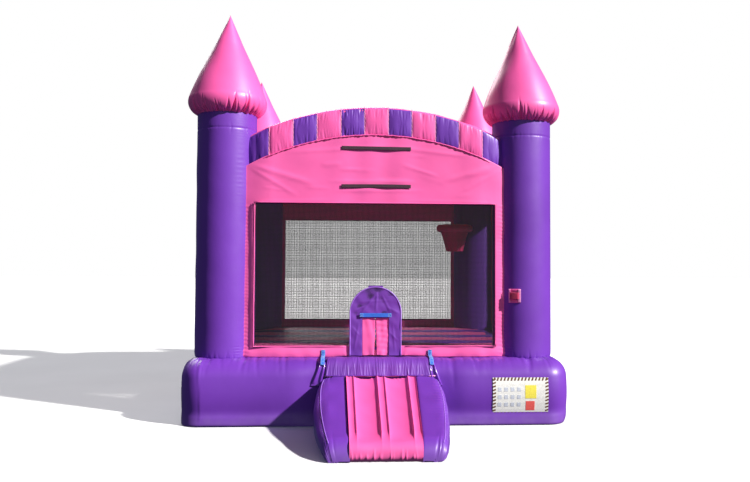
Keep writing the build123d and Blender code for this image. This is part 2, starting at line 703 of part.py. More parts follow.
with BuildPart() as anchor_loops:
    for y in (-ANCHOR_Y, ANCHOR_Y):
        with BuildSketch(FRONT.offset(-y - LOOP_W / 2)):
            with Locations((LOOP_X, ANCHOR_Z)):
                Circle(LOOP_R)
            with Locations((HALF_WIDE + SKIN + LOOP_T / 2, ANCHOR_Z + LOOP_TAIL_UP)):
                Rectangle(LOOP_T, LOOP_TAIL)
            with Locations((LOOP_X, ANCHOR_Z)):
                Circle(LOOP_BORE, mode=Mode.SUBTRACT)
        extrude(amount=LOOP_W)
    mirror(about=RIGHT_TO_LEFT)
keep(anchor_loops.part, "anchor_loops")

for corner, (x, y) in CORNERS.items():
    ring_x = LOOP_X if x > 0 else -LOOP_X
    ring_y = ANCHOR_Y if y > 0 else -ANCHOR_Y
    with BuildPart() as anchor_ring:
        with Locations(Location((ring_x, ring_y, ANCHOR_Z), (90, 0, 0))):
            Cylinder(RING_WIRE, 2 * RING_HALF)
        for end in (-RING_HALF, RING_HALF):
            with Locations((ring_x, ring_y + end, ANCHOR_Z)):
                Sphere(RING_WIRE)
            with Locations((ring_x, ring_y + end, ANCHOR_Z - RING_LEG / 2)):
                Cylinder(RING_WIRE, RING_LEG)
        with BuildSketch(Plane.XY.offset(ANCHOR_Z - RING_LEG)):
            with Locations((ring_x, ring_y + RING_HALF)):
                Circle(RING_WIRE)
        bow_axis = Axis((ring_x, ring_y, ANCHOR_Z - RING_LEG), (1, 0, 0))
        revolve(axis=bow_axis, revolution_arc=-180)
    keep(anchor_ring.part, f"anchor_ring_{corner}")

# ---------------------------------------------------------------- tether loop on one column
TETHER_LOW, TETHER_H = 1193.0, 142.0
TETHER_TURN, TETHER_SPAN = 25.2, 11.3     # degrees round the column, from straight ahead
TETHER_STAND_OFF, TETHER_PATCH_T, TETHER_STRAP_T = 25.0, 3.0, 3.0
TETHER_STRAP_SPAN, TETHER_GAP_SPAN = 9.0, 8.2
RIGHT_COLUMN = CORNERS["front_right"]


def column_sector(low, height, inner, outer, half_angle):
    """A curved plate hugging the front right column, centred on the tether's direction."""
    reach = outer * 1.5
    with BuildPart() as plate:
        with BuildSketch(Plane.XY.offset(low)):
            with Locations(RIGHT_COLUMN):
                Circle(outer)
                Circle(inner, mode=Mode.SUBTRACT)
            with BuildLine():
                angles = [radians(270 - TETHER_TURN + turn) for turn in (-half_angle, half_angle)]
                rim = [(RIGHT_COLUMN[0] + reach * cos(a), RIGHT_COLUMN[1] + reach * sin(a)) for a in angles]
                Polyline(RIGHT_COLUMN, *rim, close=True)
            make_face(mode=Mode.INTERSECT)
        extrude(amount=height)
    return plate.part


patch_r = COLUMN_R + TETHER_PATCH_T
tether_patch = column_sector(TETHER_LOW, TETHER_H, COLUMN_R, patch_r, TETHER_SPAN)
keep(tether_patch, "tether_patch")

LOOP_LOW, LOOP_H = TETHER_LOW + 36, 70.0
strap_r = COLUMN_R + TETHER_STAND_OFF
with BuildPart() as tether_loop:
    add(column_sector(LOOP_LOW, LOOP_H, patch_r, strap_r, TETHER_STRAP_SPAN))
    gap = column_sector(LOOP_LOW - 1, LOOP_H + 2, patch_r - 1, strap_r - TETHER_STRAP_T, TETHER_GAP_SPAN)
    add(gap, mode=Mode.SUBTRACT)
keep(tether_loop.part, "tether_loop")

# ---------------------------------------------------------------- ball hoop
ARM_R, ARM_LENGTH = HOOP_TUBE_R - 8, 110.0
toward_column = Vector(COLUMN_AT - HOOP_X, COLUMN_AT - HOOP_Y, 0).normalized()
arm_plane = Plane(origin=(HOOP_X, HOOP_Y, HOOP_Z), z_dir=toward_column)
with BuildPart() as hoop_arm:
    with BuildSketch(arm_plane.offset(HOOP_R)):
        Circle(ARM_R)
        Circle(ARM_R - SKIN, mode=Mode.SUBTRACT)
    extrude(amount=ARM_LENGTH)
    add(COLUMN_POSTS, mode=Mode.SUBTRACT)
with BuildPart() as hoop_air:
    with BuildSketch(arm_plane.offset(HOOP_R)):
        Circle(ARM_R - SKIN)
    extrude(amount=ARM_LENGTH)
with BuildPart() as hoop_torus:
    with BuildSketch(Plane.XZ):
        with Locations((HOOP_R, HOOP_Z)):
            Circle(HOOP_TUBE_R)
            Circle(HOOP_TUBE_R - SKIN, mode=Mode.SUBTRACT)
    revolve(axis=Axis.Z)
with BuildPart() as hoop_core:
    with BuildSketch(Plane.XZ):
        with Locations((HOOP_R, HOOP_Z)):
            Circle(HOOP_TUBE_R - SKIN / 2)
    revolve(axis=Axis.Z)
with BuildPart() as hoop_ring:
    add(hoop_arm.part)
    with Locations((HOOP_X, HOOP_Y, 0)):
        add(hoop_core.part, mode=Mode.SUBTRACT)
        add(hoop_torus.part)
    add(hoop_air.part, mode=Mode.SUBTRACT)
keep(hoop_ring.part, "hoop_ring")

NET_TOP_Z, NET_LOW_Z = HOOP_Z - HOOP_TUBE_R - 1, 1745.0
NET_TOP_R, NET_LOW_R = 196.0, 115.0
with BuildPart() as hoop_net:
    with BuildSketch(Plane.XZ):
        with BuildLine():
            Polyline(
                (NET_TOP_R, NET_TOP_Z), (NET_LOW_R, NET_LOW_Z),
                (NET_LOW_R - SKIN, NET_LOW_Z), (NET_TOP_R - SKIN, NET_TOP_Z), close=True,
            )
        make_face()
    revolve(axis=Axis.Z)
with BuildPart() as placed_net:
    with Locations((HOOP_X, HOOP_Y, 0)):
        add(hoop_net.part)
keep(placed_net.part, "hoop_net")

# ---------------------------------------------------------------- placard
PLACARD_X, PLACARD_Z = 1431.5, 283.5
PLACARD_W, PLACARD_H, PLACARD_T = 555.0, 371.0, 2.0
with BuildPart() as placard:
    with BuildSketch(FRONT.offset(HALF_DEEP)):
        with Locations((PLACARD_X, PLACARD_Z)):
            Rectangle(PLACARD_W, PLACARD_H)
    extrude(amount=PLACARD_T)
keep(placard.part, "placard")
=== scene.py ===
"""Looks of the inflatable castle bounce house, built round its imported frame.

Every soft piece is a skin surface worked out from the frame's own boxes: air-filled chambers
with seams, puckers and gathers, tight vinyl sheets with creases, nets of real strands, webbing
with its stitching. Sizes are metres, -Y faces the entrance and +Z is up.
"""
import logging
import math
from dataclasses import dataclass, field
from enum import Enum
from typing import ClassVar, Optional, Sequence

import bmesh
import bpy
import numpy as np
from mathutils import Matrix, Vector
from numpy.typing import NDArray


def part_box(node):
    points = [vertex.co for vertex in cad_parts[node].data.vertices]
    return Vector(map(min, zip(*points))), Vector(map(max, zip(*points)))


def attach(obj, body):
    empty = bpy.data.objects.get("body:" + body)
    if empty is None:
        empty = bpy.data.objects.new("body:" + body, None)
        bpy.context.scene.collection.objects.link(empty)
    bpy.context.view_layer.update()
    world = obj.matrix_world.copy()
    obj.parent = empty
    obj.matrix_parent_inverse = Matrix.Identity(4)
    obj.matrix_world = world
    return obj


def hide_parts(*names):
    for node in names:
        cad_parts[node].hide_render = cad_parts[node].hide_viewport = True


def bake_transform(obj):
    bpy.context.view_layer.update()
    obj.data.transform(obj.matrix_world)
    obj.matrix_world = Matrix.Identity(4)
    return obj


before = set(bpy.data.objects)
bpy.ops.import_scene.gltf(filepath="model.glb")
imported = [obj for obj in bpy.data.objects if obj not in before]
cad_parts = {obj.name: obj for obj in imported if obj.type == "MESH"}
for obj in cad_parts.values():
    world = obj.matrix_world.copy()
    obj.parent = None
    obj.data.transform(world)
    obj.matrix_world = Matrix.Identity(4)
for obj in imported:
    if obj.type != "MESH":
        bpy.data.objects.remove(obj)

Points = NDArray[np.float64]
Colour = tuple[float, float, float]
Piece = bpy.types.Object
Socket = bpy.types.NodeSocket
LOG = logging.getLogger("bounce_house")
MM = 0.001
WALL_VINYL = 0.0016     # thickness of the wall and roof sheets
VINYL = 0.002           # thickness of the smaller sewn sheets
WEBBING = 0.0022        # thickness of the blue webbing
SEAM_CORD = 0.0065      # radius of a welted edge


class Body(str, Enum):
    """Bodies of the frame that pieces ride on."""

    HOUSE = "house"
    RAMP = "ramp"
    FLAP_LEFT = "door_flap_left"
    FLAP_RIGHT = "door_flap_right"


class Slot(str, Enum):
    """Material slots of the record, by name."""

    PURPLE = "purple_vinyl"
    PINK = "pink_vinyl"
    NET = "black_net"
    HOOK = "hook_tape"
    BLUE = "blue_webbing"
    BLACK = "black_webbing"
    PINK_WEB = "pink_webbing"
    PLACARD = "placard_vinyl"


# ---- finishes
class Nodes:
    """A short way to lay and join the shader nodes of one material."""

    def __init__(self, name: str) -> None:
        """Start an empty material called name, with its principled shader.

        Args:
            name: the material's name.
        """
        self.material = bpy.data.materials.new(name)
        self.material.use_nodes = True
        self.tree = self.material.node_tree
        self.shader = self.tree.nodes["Principled BSDF"]
        self.where = self.add("ShaderNodeTexCoord").outputs["Object"]

    def add(self, kind: str, **settings: object) -> bpy.types.Node:
        """Lay one node and set its properties.

        Args:
            kind: the node's type.
            settings: its properties and their values.

        Returns:
            The new node.
        """
        node = self.tree.nodes.new(kind)
        for key, value in settings.items():
            setattr(node, key, value)
        return node

    def join(self, source: Socket, target: Socket) -> None:
        """Run a link from an output to an input."""
        self.tree.links.new(source, target)

    def stretched(self, scale: tuple[float, float, float]) -> Socket:
        """Object coordinates multiplied by scale, axis by axis.

        Args:
            scale: factor along each axis.

        Returns:
            The socket with the coordinates.
        """
        mapping = self.add("ShaderNodeMapping")
        mapping.inputs["Scale"].default_value = scale
        self.join(self.where, mapping.inputs["Vector"])
        return mapping.outputs["Vector"]

    def noise(self, scale: float, detail: float = 3.0, at: Optional[Socket] = None,
              rough: float = 0.5) -> Socket:
        """A noise texture's value.

        Args:
            scale: cycles per metre.
            detail: octaves.
            at: coordinates, or None for object coordinates.
            rough: how strong the finer octaves are.

        Returns:
            The socket with the value.
        """
        node = self.add("ShaderNodeTexNoise")
        node.inputs["Scale"].default_value = scale
        node.inputs["Detail"].default_value = detail
        node.inputs["Roughness"].default_value = rough
        self.join(at or self.where, node.inputs["Vector"])
        return node.outputs["Fac"]

    def ramp(self, value: Socket, low: float, high: float, first: Colour,
             last: Colour) -> Socket:
        """Colours from first to last as value runs from low to high.

        Args:
            value: what picks the colour.
            low: value of the first colour.
            high: value of the last colour.
            first: colour at low.
            last: colour at high.

        Returns:
            The socket with the colour.
        """
        node = self.add("ShaderNodeValToRGB")
        for element, place, colour in zip(node.color_ramp.elements, (low, high), (first, last)):
            element.position = place
            element.color = (*colour, 1.0)
        self.join(value, node.inputs["Fac"])
        return node.outputs["Color"]

    def tone(self, value: Socket, ends: tuple[float, float], colour: Colour,
             factors: tuple[float, float]) -> Socket:
        """One colour, darker to lighter as value runs between the ends."""
        return self.ramp(value, *ends, *(shaded(colour, factor) for factor in factors))

    def span(self, value: Socket, low: float, high: float) -> Socket:
        """A value from 0 to 1 brought to low to high.

        Args:
            value: the value from 0 to 1.
            low: what 0 becomes.
            high: what 1 becomes.

        Returns:
            The socket with the result.
        """
        node = self.add("ShaderNodeMapRange")
        node.inputs["To Min"].default_value = low
        node.inputs["To Max"].default_value = high
        self.join(value, node.inputs["Value"])
        return node.outputs["Result"]

    def bump(self, height: Socket, distance: float,
             under: Optional[Socket] = None) -> Socket:
        """Lay a bump of that many metres, on top of another bump if one is given.

        Args:
            height: the height's socket.
            distance: metres that a height of 1 stands for.
            under: the bump beneath, if any.

        Returns:
            The socket with the normal.
        """
        node = self.add("ShaderNodeBump")
        node.inputs["Distance"].default_value = distance
        self.join(height, node.inputs["Height"])
        if under is not None:
            self.join(under, node.inputs["Normal"])
        return node.outputs["Normal"]


def shaded(colour: Colour, factor: float) -> Colour:
    """A colour made darker or lighter by a factor."""
    return tuple(min(1.0, channel * factor) for channel in colour)


@dataclass(frozen=True)
class Vinyl:
    """Coated vinyl: a gloss skin over a woven scrim, softly crumpled, a little dusty low down."""

    name: str
    colour: Colour
    roughness: float = 0.43
    coat: float = 0.22
    coat_roughness: float = 0.28
    crumple: float = 1.8 * MM
    dust: float = 0.0

    def make(self) -> bpy.types.Material:
        """Build the material.

        Returns:
            The new material.
        """
        nodes = Nodes(self.name)
        shader = nodes.shader
        tone = nodes.tone(nodes.noise(1.7, 4.0), (0.30, 0.72), self.colour, (0.90, 1.07))
        if self.dust:
            height = nodes.add("ShaderNodeSeparateXYZ")
            nodes.join(nodes.where, height.inputs[0])
            low = nodes.add("ShaderNodeMapRange")
            low.inputs["From Min"].default_value = 0.16
            low.inputs["From Max"].default_value = 0.0
            nodes.join(height.outputs["Z"], low.inputs["Value"])
            patchy = nodes.add("ShaderNodeMath", operation="MULTIPLY")
            nodes.join(low.outputs["Result"], patchy.inputs[0])
            nodes.join(nodes.span(nodes.noise(14.0, 6.0), 0.0, self.dust), patchy.inputs[1])
            mix = nodes.add("ShaderNodeMix", data_type="RGBA")
            nodes.join(patchy.outputs[0], mix.inputs[0])
            nodes.join(tone, mix.inputs[6])
            mix.inputs[7].default_value = (0.42, 0.38, 0.34, 1.0)
            tone = mix.outputs[2]
        nodes.join(tone, shader.inputs["Base Color"])
        gloss = nodes.span(nodes.noise(6.0, 5.0), self.roughness - 0.06, self.roughness + 0.10)
        nodes.join(gloss, shader.inputs["Roughness"])
        shader.inputs["Coat Weight"].default_value = self.coat
        shader.inputs["Coat Roughness"].default_value = self.coat_roughness
        soft = nodes.bump(nodes.noise(5.5, 2.0), self.crumple)
        fine = nodes.bump(nodes.noise(38.0, 4.0), 0.28 * MM, soft)
        scrim = nodes.bump(weave(nodes, 620.0), 0.02 * MM, fine)
        nodes.join(scrim, shader.inputs["Normal"])
        return nodes.material


def weave(nodes: Nodes, per_metre: float) -> Socket:
    """The height of a plain weave: three crossed sets of threads, so that it shows on any face.

    Args:
        nodes: the material's nodes.
        per_metre: threads in a metre.

    Returns:
        The socket with the height.
    """
    total: Optional[Socket] = None
    for direction in ("X", "Y", "Z"):
        wave = nodes.add("ShaderNodeTexWave", bands_direction=direction)
        wave.inputs["Scale"].default_value = per_metre / (math.tau)
        nodes.join(nodes.where, wave.inputs["Vector"])
        if total is None:
            total = wave.outputs["Fac"]
            continue
        both = nodes.add("ShaderNodeMath", operation="ADD")
        nodes.join(total, both.inputs[0])
        nodes.join(wave.outputs["Fac"], both.inputs[1])
        total = both.outputs[0]
    return total


@dataclass(frozen=True)
class Woven:
    """Woven webbing, tape or net cord: matt thread with a visible weave and a soft sheen."""

    name: str
    colour: Colour
    threads: float = 900.0
    depth: float = 0.25 * MM
    roughness: float = 0.78
    sheen: float = 0.25

    def make(self) -> bpy.types.Material:
        """Build the material.

        Returns:
            The new material.
        """
        nodes = Nodes(self.name)
        shader = nodes.shader
        tone = nodes.tone(nodes.noise(220.0, 3.0), (0.3, 0.7), self.colour, (0.72, 1.2))
        nodes.join(tone, shader.inputs["Base Color"])
        nodes.join(nodes.span(nodes.noise(60.0, 2.0), self.roughness - 0.08, self.roughness + 0.08),
                   shader.inputs["Roughness"])
        shader.inputs["Sheen Weight"].default_value = self.sheen
        shader.inputs["Sheen Roughness"].default_value = 0.5
        nodes.join(nodes.bump(weave(nodes, self.threads), self.depth), shader.inputs["Normal"])
        return nodes.material


@dataclass(frozen=True)
class Moulded:
    """Moulded plastic or plated steel: a hard finish with fine grain and small scratches."""

    name: str
    colour: Colour
    metallic: float = 0.0
    roughness: float = 0.45
    grain: float = 420.0

    def make(self) -> bpy.types.Material:
        """Build the material.

        Returns:
            The new material.
        """
        nodes = Nodes(self.name)
        shader = nodes.shader
        tone = nodes.tone(nodes.noise(90.0, 5.0), (0.3, 0.7), self.colour, (0.85, 1.1))
        nodes.join(tone, shader.inputs["Base Color"])
        shader.inputs["Metallic"].default_value = self.metallic
        worn = nodes.noise(35.0, 6.0, nodes.stretched((1.0, 1.0, 9.0)))
        nodes.join(nodes.span(worn, self.roughness - 0.12, self.roughness + 0.15), shader.inputs["Roughness"])
        nodes.join(nodes.bump(nodes.noise(self.grain, 3.0), 0.05 * MM), shader.inputs["Normal"])
        return nodes.material


PURPLE_VINYL = Vinyl("purple_skin", (0.158, 0.036, 0.405), dust=0.25)
PURPLE_SHEET = Vinyl("purple_sheet", (0.155, 0.034, 0.36), roughness=0.56, coat=0.04, crumple=3.0 * MM)
PINK_VINYL = Vinyl("pink_skin", (0.97, 0.118, 0.41), roughness=0.43, dust=0.15)
PINK_SHEET = Vinyl("pink_sheet", (1.0, 0.135, 0.43), roughness=0.55, coat=0.06, crumple=2.0 * MM)
GLOSSY_PURPLE = Vinyl("glossy_purple_skin", (0.165, 0.038, 0.41), roughness=0.24, coat=0.7,
                      coat_roughness=0.14)
# pale pink for the welted seams; on the tether's weld bars it is a painted highlight for the sunlit, raised
# strap ends
PALE_PINK_SEAM_AND_PAINTED_HIGHLIGHT = Vinyl("pale_pink_seam", (1.0, 0.36, 0.66), roughness=0.55, coat=0.05)
PALE_PURPLE_VINYL = Vinyl("pale_purple_binding", (0.34, 0.15, 0.66), roughness=0.62, coat=0.02)
DEEP_PINK_VINYL = Vinyl("deep_pink_skin", (0.80, 0.05, 0.20), roughness=0.45)
GREY_VINYL = Vinyl("grey_ground_skin", (0.36, 0.36, 0.38), roughness=0.55, coat=0.0)
NET_CORD = Woven("black_net_cord", (0.016, 0.016, 0.018), threads=2400.0, depth=0.15 * MM, sheen=0.1)
HOOK_TAPE = Woven("hook_tape", (0.045, 0.012, 0.028), threads=1500.0, depth=0.4 * MM)
BLUE_WEBBING = Woven("blue_webbing", (0.022, 0.16, 0.72), threads=700.0, depth=0.5 * MM)
PALE_THREAD = Woven("pale_blue_thread", (0.35, 0.62, 0.95), threads=1800.0)
BLACK_WEBBING = Woven("black_webbing", (0.02, 0.02, 0.022), threads=700.0, depth=0.5 * MM)
# pink webbing darkened to a deep red: painted shade for the shadowed middle of the tether loop
SHADE_DARKENED_PINK_WEBBING = Woven("pink_webbing", (0.50, 0.012, 0.09), threads=700.0, depth=0.5 * MM)
PLATED_STEEL = Moulded("zinc_plated_steel", (0.62, 0.63, 0.66), metallic=1.0, roughness=0.34)
BLACK_PLASTIC = Moulded("black_buckle_plastic", (0.02, 0.02, 0.022))
PLACARD_CREAM = Moulded("placard_cream", (0.86, 0.86, 0.80), roughness=0.38)
PLACARD_DARK = Moulded("placard_dark_stripe", (0.16, 0.075, 0.03), roughness=0.38)
PLACARD_YELLOW = Moulded("placard_yellow", (0.95, 0.80, 0.10), roughness=0.38)
PLACARD_RED = Moulded("placard_red", (0.86, 0.13, 0.11), roughness=0.38)
PLACARD_GREY = Moulded("placard_grey", (0.62, 0.66, 0.72), roughness=0.38)
STRIPES = (("pink", PINK_VINYL, Slot.PINK), ("purple", PURPLE_VINYL, Slot.PURPLE))
Finish = Vinyl | Woven | Moulded
_MADE: dict[str, bpy.types.Material] = {}


def material(finish: Finish) -> bpy.types.Material:
    """The finish's material, made once.

    Args:
        finish: what the surface is made of.

    Returns:
        The material, shared by all pieces of that finish.
    """
    if finish.name not in _MADE:
        _MADE[finish.name] = finish.make()
    return _MADE[finish.name]


# ---- meshes
def solid(name: str, vertices: Points, faces: Sequence[Sequence[int]],
          smooth: bool = True) -> Piece:
    """Make a mesh object from vertices and faces.

    Args:
        name: the piece's name.
        vertices: an array of points.
        faces: vertex numbers of each face.
        smooth: shade it smooth.

    Returns:
        The new object, already in the scene.
    """
    mesh = bpy.data.meshes.new(name)
    mesh.from_pydata(vertices.reshape(-1, 3).tolist(), [], [list(map(int, f)) for f in faces])
    mesh.validate()
    mesh.update()
    mesh.polygons.foreach_set("use_smooth", [smooth] * len(mesh.polygons))
    piece = bpy.data.objects.new(name, mesh)
    bpy.context.scene.collection.objects.link(piece)
    return piece


def grid_faces(rows: int, columns: int, close_rows: bool = False, close_columns: bool = False,
               keep: Optional[NDArray[np.bool_]] = None) -> NDArray[np.int64]:
    """Quads of a grid of rows by columns points, wrapped where asked.

    Args:
        rows: number of points down.
        columns: number of points across.
        close_rows: join the last row to the first.
        close_columns: join the last column to the first.
        keep: which cells to make, as rows by columns of cells.

    Returns:
        An array of four vertex numbers a face.
    """
    i, j = np.meshgrid(np.arange(rows if close_rows else rows - 1),
                       np.arange(columns if close_columns else columns - 1), indexing="ij")
    if keep is not None:
        i, j = i[keep], j[keep]
    i, j = i.ravel(), j.ravel()
    down, right = (i + 1) % rows, (j + 1) % columns
    return np.stack([i * columns + j, i * columns + right, down * columns + right, down * columns + j], 1)


def lattice(name: str, points: Points, close_rows: bool = False, close_columns: bool = False,
            keep: Optional[NDArray[np.bool_]] = None, flip: bool = False) -> Piece:
    """A surface through a grid of points.

    Args:
        name: the piece's name.
        points: rows by columns by 3.
        close_rows: wrap from the last row to the first.
        close_columns: wrap from the last column to the first.
        keep: which cells to make.
        flip: turn the faces over.

    Returns:
        The surface as an object.
    """
    rows, columns = points.shape[:2]
    faces = grid_faces(rows, columns, close_rows, close_columns, keep)
    if flip:
        faces = faces[:, ::-1]
    used, renumbered = np.unique(faces, return_inverse=True)
    return solid(name, points.reshape(-1, 3)[used], renumbered.reshape(faces.shape))


def joined(name: str, pieces: Sequence[Piece]) -> Piece:
    """Several meshes made into one object.

    Args:
        name: the new object's name.
        pieces: the objects, which are used up.

    Returns:
        The one object.
    """
    points, faces, start = [], [], 0
    for piece in pieces:
        mesh = piece.data
        count = len(mesh.vertices)
        flat = np.empty(count * 3)
        mesh.vertices.foreach_get("co", flat)
        points.append(flat.reshape(-1, 3))
        faces += [[start + v for v in polygon.vertices] for polygon in mesh.polygons]
        start += count
        bpy.data.objects.remove(piece)
        bpy.data.meshes.remove(mesh)
    return solid(name, np.concatenate(points), faces)


def tube(name: str, path: Points, radius: float, sides: int = 8, closed: bool = False) -> Piece:
    """A round cord along a path, capped at its ends.

    Args:
        name: the piece's name.
        path: points along its middle.
        radius: half its thickness.
        sides: faces round it.
        closed: join its end to its start.

    Returns:
        The cord as an object.
    """
    path = np.asarray(path, float)
    ahead = np.roll(path, -1, 0) - np.roll(path, 1, 0) if closed else np.gradient(path, axis=0)
    ahead /= np.maximum(np.linalg.norm(ahead, axis=1, keepdims=True), 1e-9)
    side = np.cross(ahead, [0.13, 0.21, 0.97])
    weak = np.linalg.norm(side, axis=1) < 0.2
    side[weak] = np.cross(ahead[weak], [0.97, 0.1, 0.2])
    side /= np.linalg.norm(side, axis=1, keepdims=True)
    over = np.cross(ahead, side)
    turn = circle(sides)
    ring = (side[:, None] * np.cos(turn)[None, :, None] + over[:, None] * np.sin(turn)[None, :, None])
    points = path[:, None] + radius * ring
    faces = grid_faces(len(path), sides, closed, True).tolist()
    if not closed:
        last = (len(path) - 1) * sides
        faces += [list(range(sides))[::-1], [last + k for k in range(sides)]]
    return solid(name, points.reshape(-1, 3), faces)


def box_mesh(name: str, low: Sequence[float], high: Sequence[float], bevel: float = 0.0) -> Piece:
    """A box between two corners, its edges bevelled.

    Args:
        name: the piece's name.
        low: lowest corner.
        high: highest corner.
        bevel: width of the bevel, or 0 for none.

    Returns:
        The box as an object.
    """
    corners = np.array([[(low, high)[(k >> a) & 1][a] for a in range(3)] for k in range(8)], float)
    faces = [[0, 2, 3, 1], [4, 5, 7, 6], [0, 1, 5, 4], [2, 6, 7, 3], [0, 4, 6, 2], [1, 3, 7, 5]]
    piece = solid(name, corners, faces, smooth=False)
    if bevel:
        modifier = piece.modifiers.new("edge", "BEVEL")
        modifier.width, modifier.segments = bevel, 3
    return piece


def thicken(piece: Piece, thickness: float) -> Piece:
    """Give a sheet its thickness, half to each side.

    Args:
        piece: the sheet.
        thickness: its full thickness.

    Returns:
        The same object.
    """
    modifier = piece.modifiers.new("thickness", "SOLIDIFY")
    modifier.thickness, modifier.offset = thickness, 0.0
    return piece


def dress(piece: Piece, finish: Finish, body: Optional[Body] = Body.HOUSE,
          replaces: Sequence[str] = ()) -> Piece:
    """Give a piece its finish, the body it rides on, and the nodes it stands for.

    Args:
        piece: the object.
        finish: its material.
        body: what it rides on, or None if it is blended.
        replaces: CAD nodes that it stands for.

    Returns:
        The same object.
    """
    piece.data.materials.clear()
    piece.data.materials.append(material(finish))
    if body is not None:
        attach(piece, body.value)
    if replaces:
        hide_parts(*replaces)
    LOG.info("%s: %d faces", piece.name, len(piece.data.polygons))
    return piece


def node_box(name: str) -> tuple[Points, Points]:
    """The lowest and highest corner of a CAD node."""
    low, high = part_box(name)
    return np.array(low), np.array(high)


# ---- how vinyl creases
@dataclass
class Puckers:
    """Pleats that run square to a seam, as gathered vinyl has.

    Attributes:
        length: how long the seam is.
        count: number of pleats along it.
        depth: how deep the deepest is.
        width: typical half width of a pleat.
        reach: how far from the seam the longest one runs.
        seed: number that fixes the draw.
        closed: the seam is a ring.
    """

    length: float
    count: int
    depth: float
    width: float
    reach: float
    seed: int
    closed: bool = False

    def __post_init__(self) -> None:
        """Draw the pleats once."""
        draw = np.random.default_rng(self.seed)
        even = (np.arange(self.count) + draw.uniform(-0.42, 0.42, self.count)) / self.count
        self.at = even * self.length
        self.deep = self.depth * draw.uniform(0.25, 1.0, self.count) ** 1.3
        self.wide = self.width * draw.uniform(0.55, 1.5, self.count)
        self.long = self.reach * draw.uniform(0.35, 1.0, self.count)
        self.lean = draw.uniform(-0.16, 0.16, self.count)

    def __call__(self, along: Points, away: Points) -> Points:
        """Inward displacement.

        Args:
            along: distance along the seam.
            away: distance from it, never negative.

        Returns:
            How far each point is drawn in, in metres.
        """
        total = np.zeros(np.broadcast(along, away).shape)
        for at, deep, wide, long, lean in zip(self.at, self.deep, self.wide, self.long, self.lean):
            gap = along - at - lean * away
            if self.closed:
                gap = (gap + self.length / 2) % self.length - self.length / 2
            fade = unit(1 - away / long)
            narrow = wide * (0.35 + 0.65 * fade)
            total += deep * fade ** 1.2 * np.exp(-np.abs(gap / narrow) ** 1.4)
        return total


@dataclass
class Crumple:
    """Soft irregular undulation made of a few crossed waves with fixed seeds."""

    height: float
    wavelength: float
    seed: int
    waves: int = 9

    def __post_init__(self) -> None:
        """Draw the waves once."""
        draw = np.random.default_rng(self.seed)
        turn = draw.uniform(0, math.tau, self.waves)
        rate = math.tau / (self.wavelength * draw.uniform(0.55, 1.8, self.waves))
        self.rate = np.stack([rate * np.cos(turn), rate * np.sin(turn)])
        self.phase = draw.uniform(0, math.tau, self.waves)
        self.share = draw.uniform(0.4, 1.0, self.waves)
        self.share /= self.share.sum()

    def __call__(self, a: Points, b: Points) -> Points:
        """Displacement at surface coordinates a and b.

        Args:
            a: distance along the surface.
            b: distance across it.

        Returns:
            The displacement in metres.
        """
        total = np.zeros(np.broadcast(a, b).shape)
        for ka, kb, phase, share in zip(self.rate[0], self.rate[1], self.phase, self.share):
            total += share * np.sin(ka * a + kb * b + phase)
        return self.height * total * 1.8


@dataclass
class Folds:
    """Long straight creases across a tight sheet, each a low ridge with a soft shadow side."""

    lines: Sequence[tuple[float, float, float, float, float, float]]

    def __call__(self, a: Points, b: Points) -> Points:
        """Height of the creases, given as start, end, height and half width in sheet coordinates.

        Args:
            a: sheet coordinate across.
            b: sheet coordinate up.

        Returns:
            The height of the creases in metres.
        """
        total = np.zeros(np.broadcast(a, b).shape)
        for a0, b0, a1, b1, height, width in self.lines:
            run = math.hypot(a1 - a0, b1 - b0)
            ua, ub = (a1 - a0) / run, (b1 - b0) / run
            t = ((a - a0) * ua + (b - b0) * ub) / run
            off = (a - a0) * -ub + (b - b0) * ua
            ends = unit(np.minimum(t, 1 - t) * 4 + 0.15) * ((t > -0.04) & (t < 1.04))
            total += height * ends * bell(off / width) * (1 - 0.5 * off / width)
        return total


# ---- shared plan shapes
def rounded_oblong(half: tuple[float, float], corner: float, per_side: int,
                   per_corner: int) -> tuple[Points, Points]:
    """Points and outward directions round an oblong with rounded corners, from the entrance side.

    Args:
        half: half width across X and along Y.
        corner: radius of the corners.
        per_side: points on each straight stretch.
        per_corner: points on each corner.

    Returns:
        The points and their outward directions, anticlockwise.
    """
    size, points, normals = np.array(half), [], []
    for quarter in range(4):
        base = quarter * math.pi / 2 - math.pi / 2
        out = np.array([round(math.cos(base)), round(math.sin(base))], float)
        tangent = np.array([-out[1], out[0]])
        reach, straight = abs(out @ size), abs(tangent @ size) - corner
        t = np.linspace(-straight, straight, per_side, endpoint=False)
        points.append(out * reach + tangent * t[:, None])
        normals.append(np.repeat(out[None], per_side, 0))
        turn = base + np.linspace(0, math.pi / 2, per_corner, endpoint=False)
        ring = np.stack([np.cos(turn), np.sin(turn)], 1)
        points.append(out * (reach - corner) + tangent * straight + ring * corner)
        normals.append(ring)
    return np.concatenate(points), np.concatenate(normals)


def arc(centre: tuple[float, float], radius: float, start: float, end: float, count: int) -> Points:
    """Points on an arc, angles in degrees."""
    turn = np.radians(np.linspace(start, end, count))
    return np.stack([centre[0] + radius * np.cos(turn), centre[1] + radius * np.sin(turn)], 1)


def outward(section: Points) -> Points:
    """Unit directions to the left of a line of points.

    Args:
        section: the points, as rows of two.

    Returns:
        A unit direction for each point.
    """
    ahead = np.gradient(section, axis=0)
    ahead /= np.maximum(np.linalg.norm(ahead, axis=1, keepdims=True), 1e-9)
    return np.stack([-ahead[:, 1], ahead[:, 0]], 1)


def turned(centre: Sequence[float], radius: Points | float, turn: Points, height: Points) -> Points:
    """Points at a radius and direction round an upright axis.

    Args:
        centre: where the axis stands.
        radius: distance from it.
        turn: direction in radians.
        height: height of each point.

    Returns:
        The points, in the shape that the values share.
    """
    x, y = centre[0] + radius * np.cos(turn), centre[1] + radius * np.sin(turn)
    return np.stack(np.broadcast_arrays(x, y, height), -1)


def unit(value: Points | float) -> Points:
    """A value held between 0 and 1."""
    return np.clip(value, 0, 1)


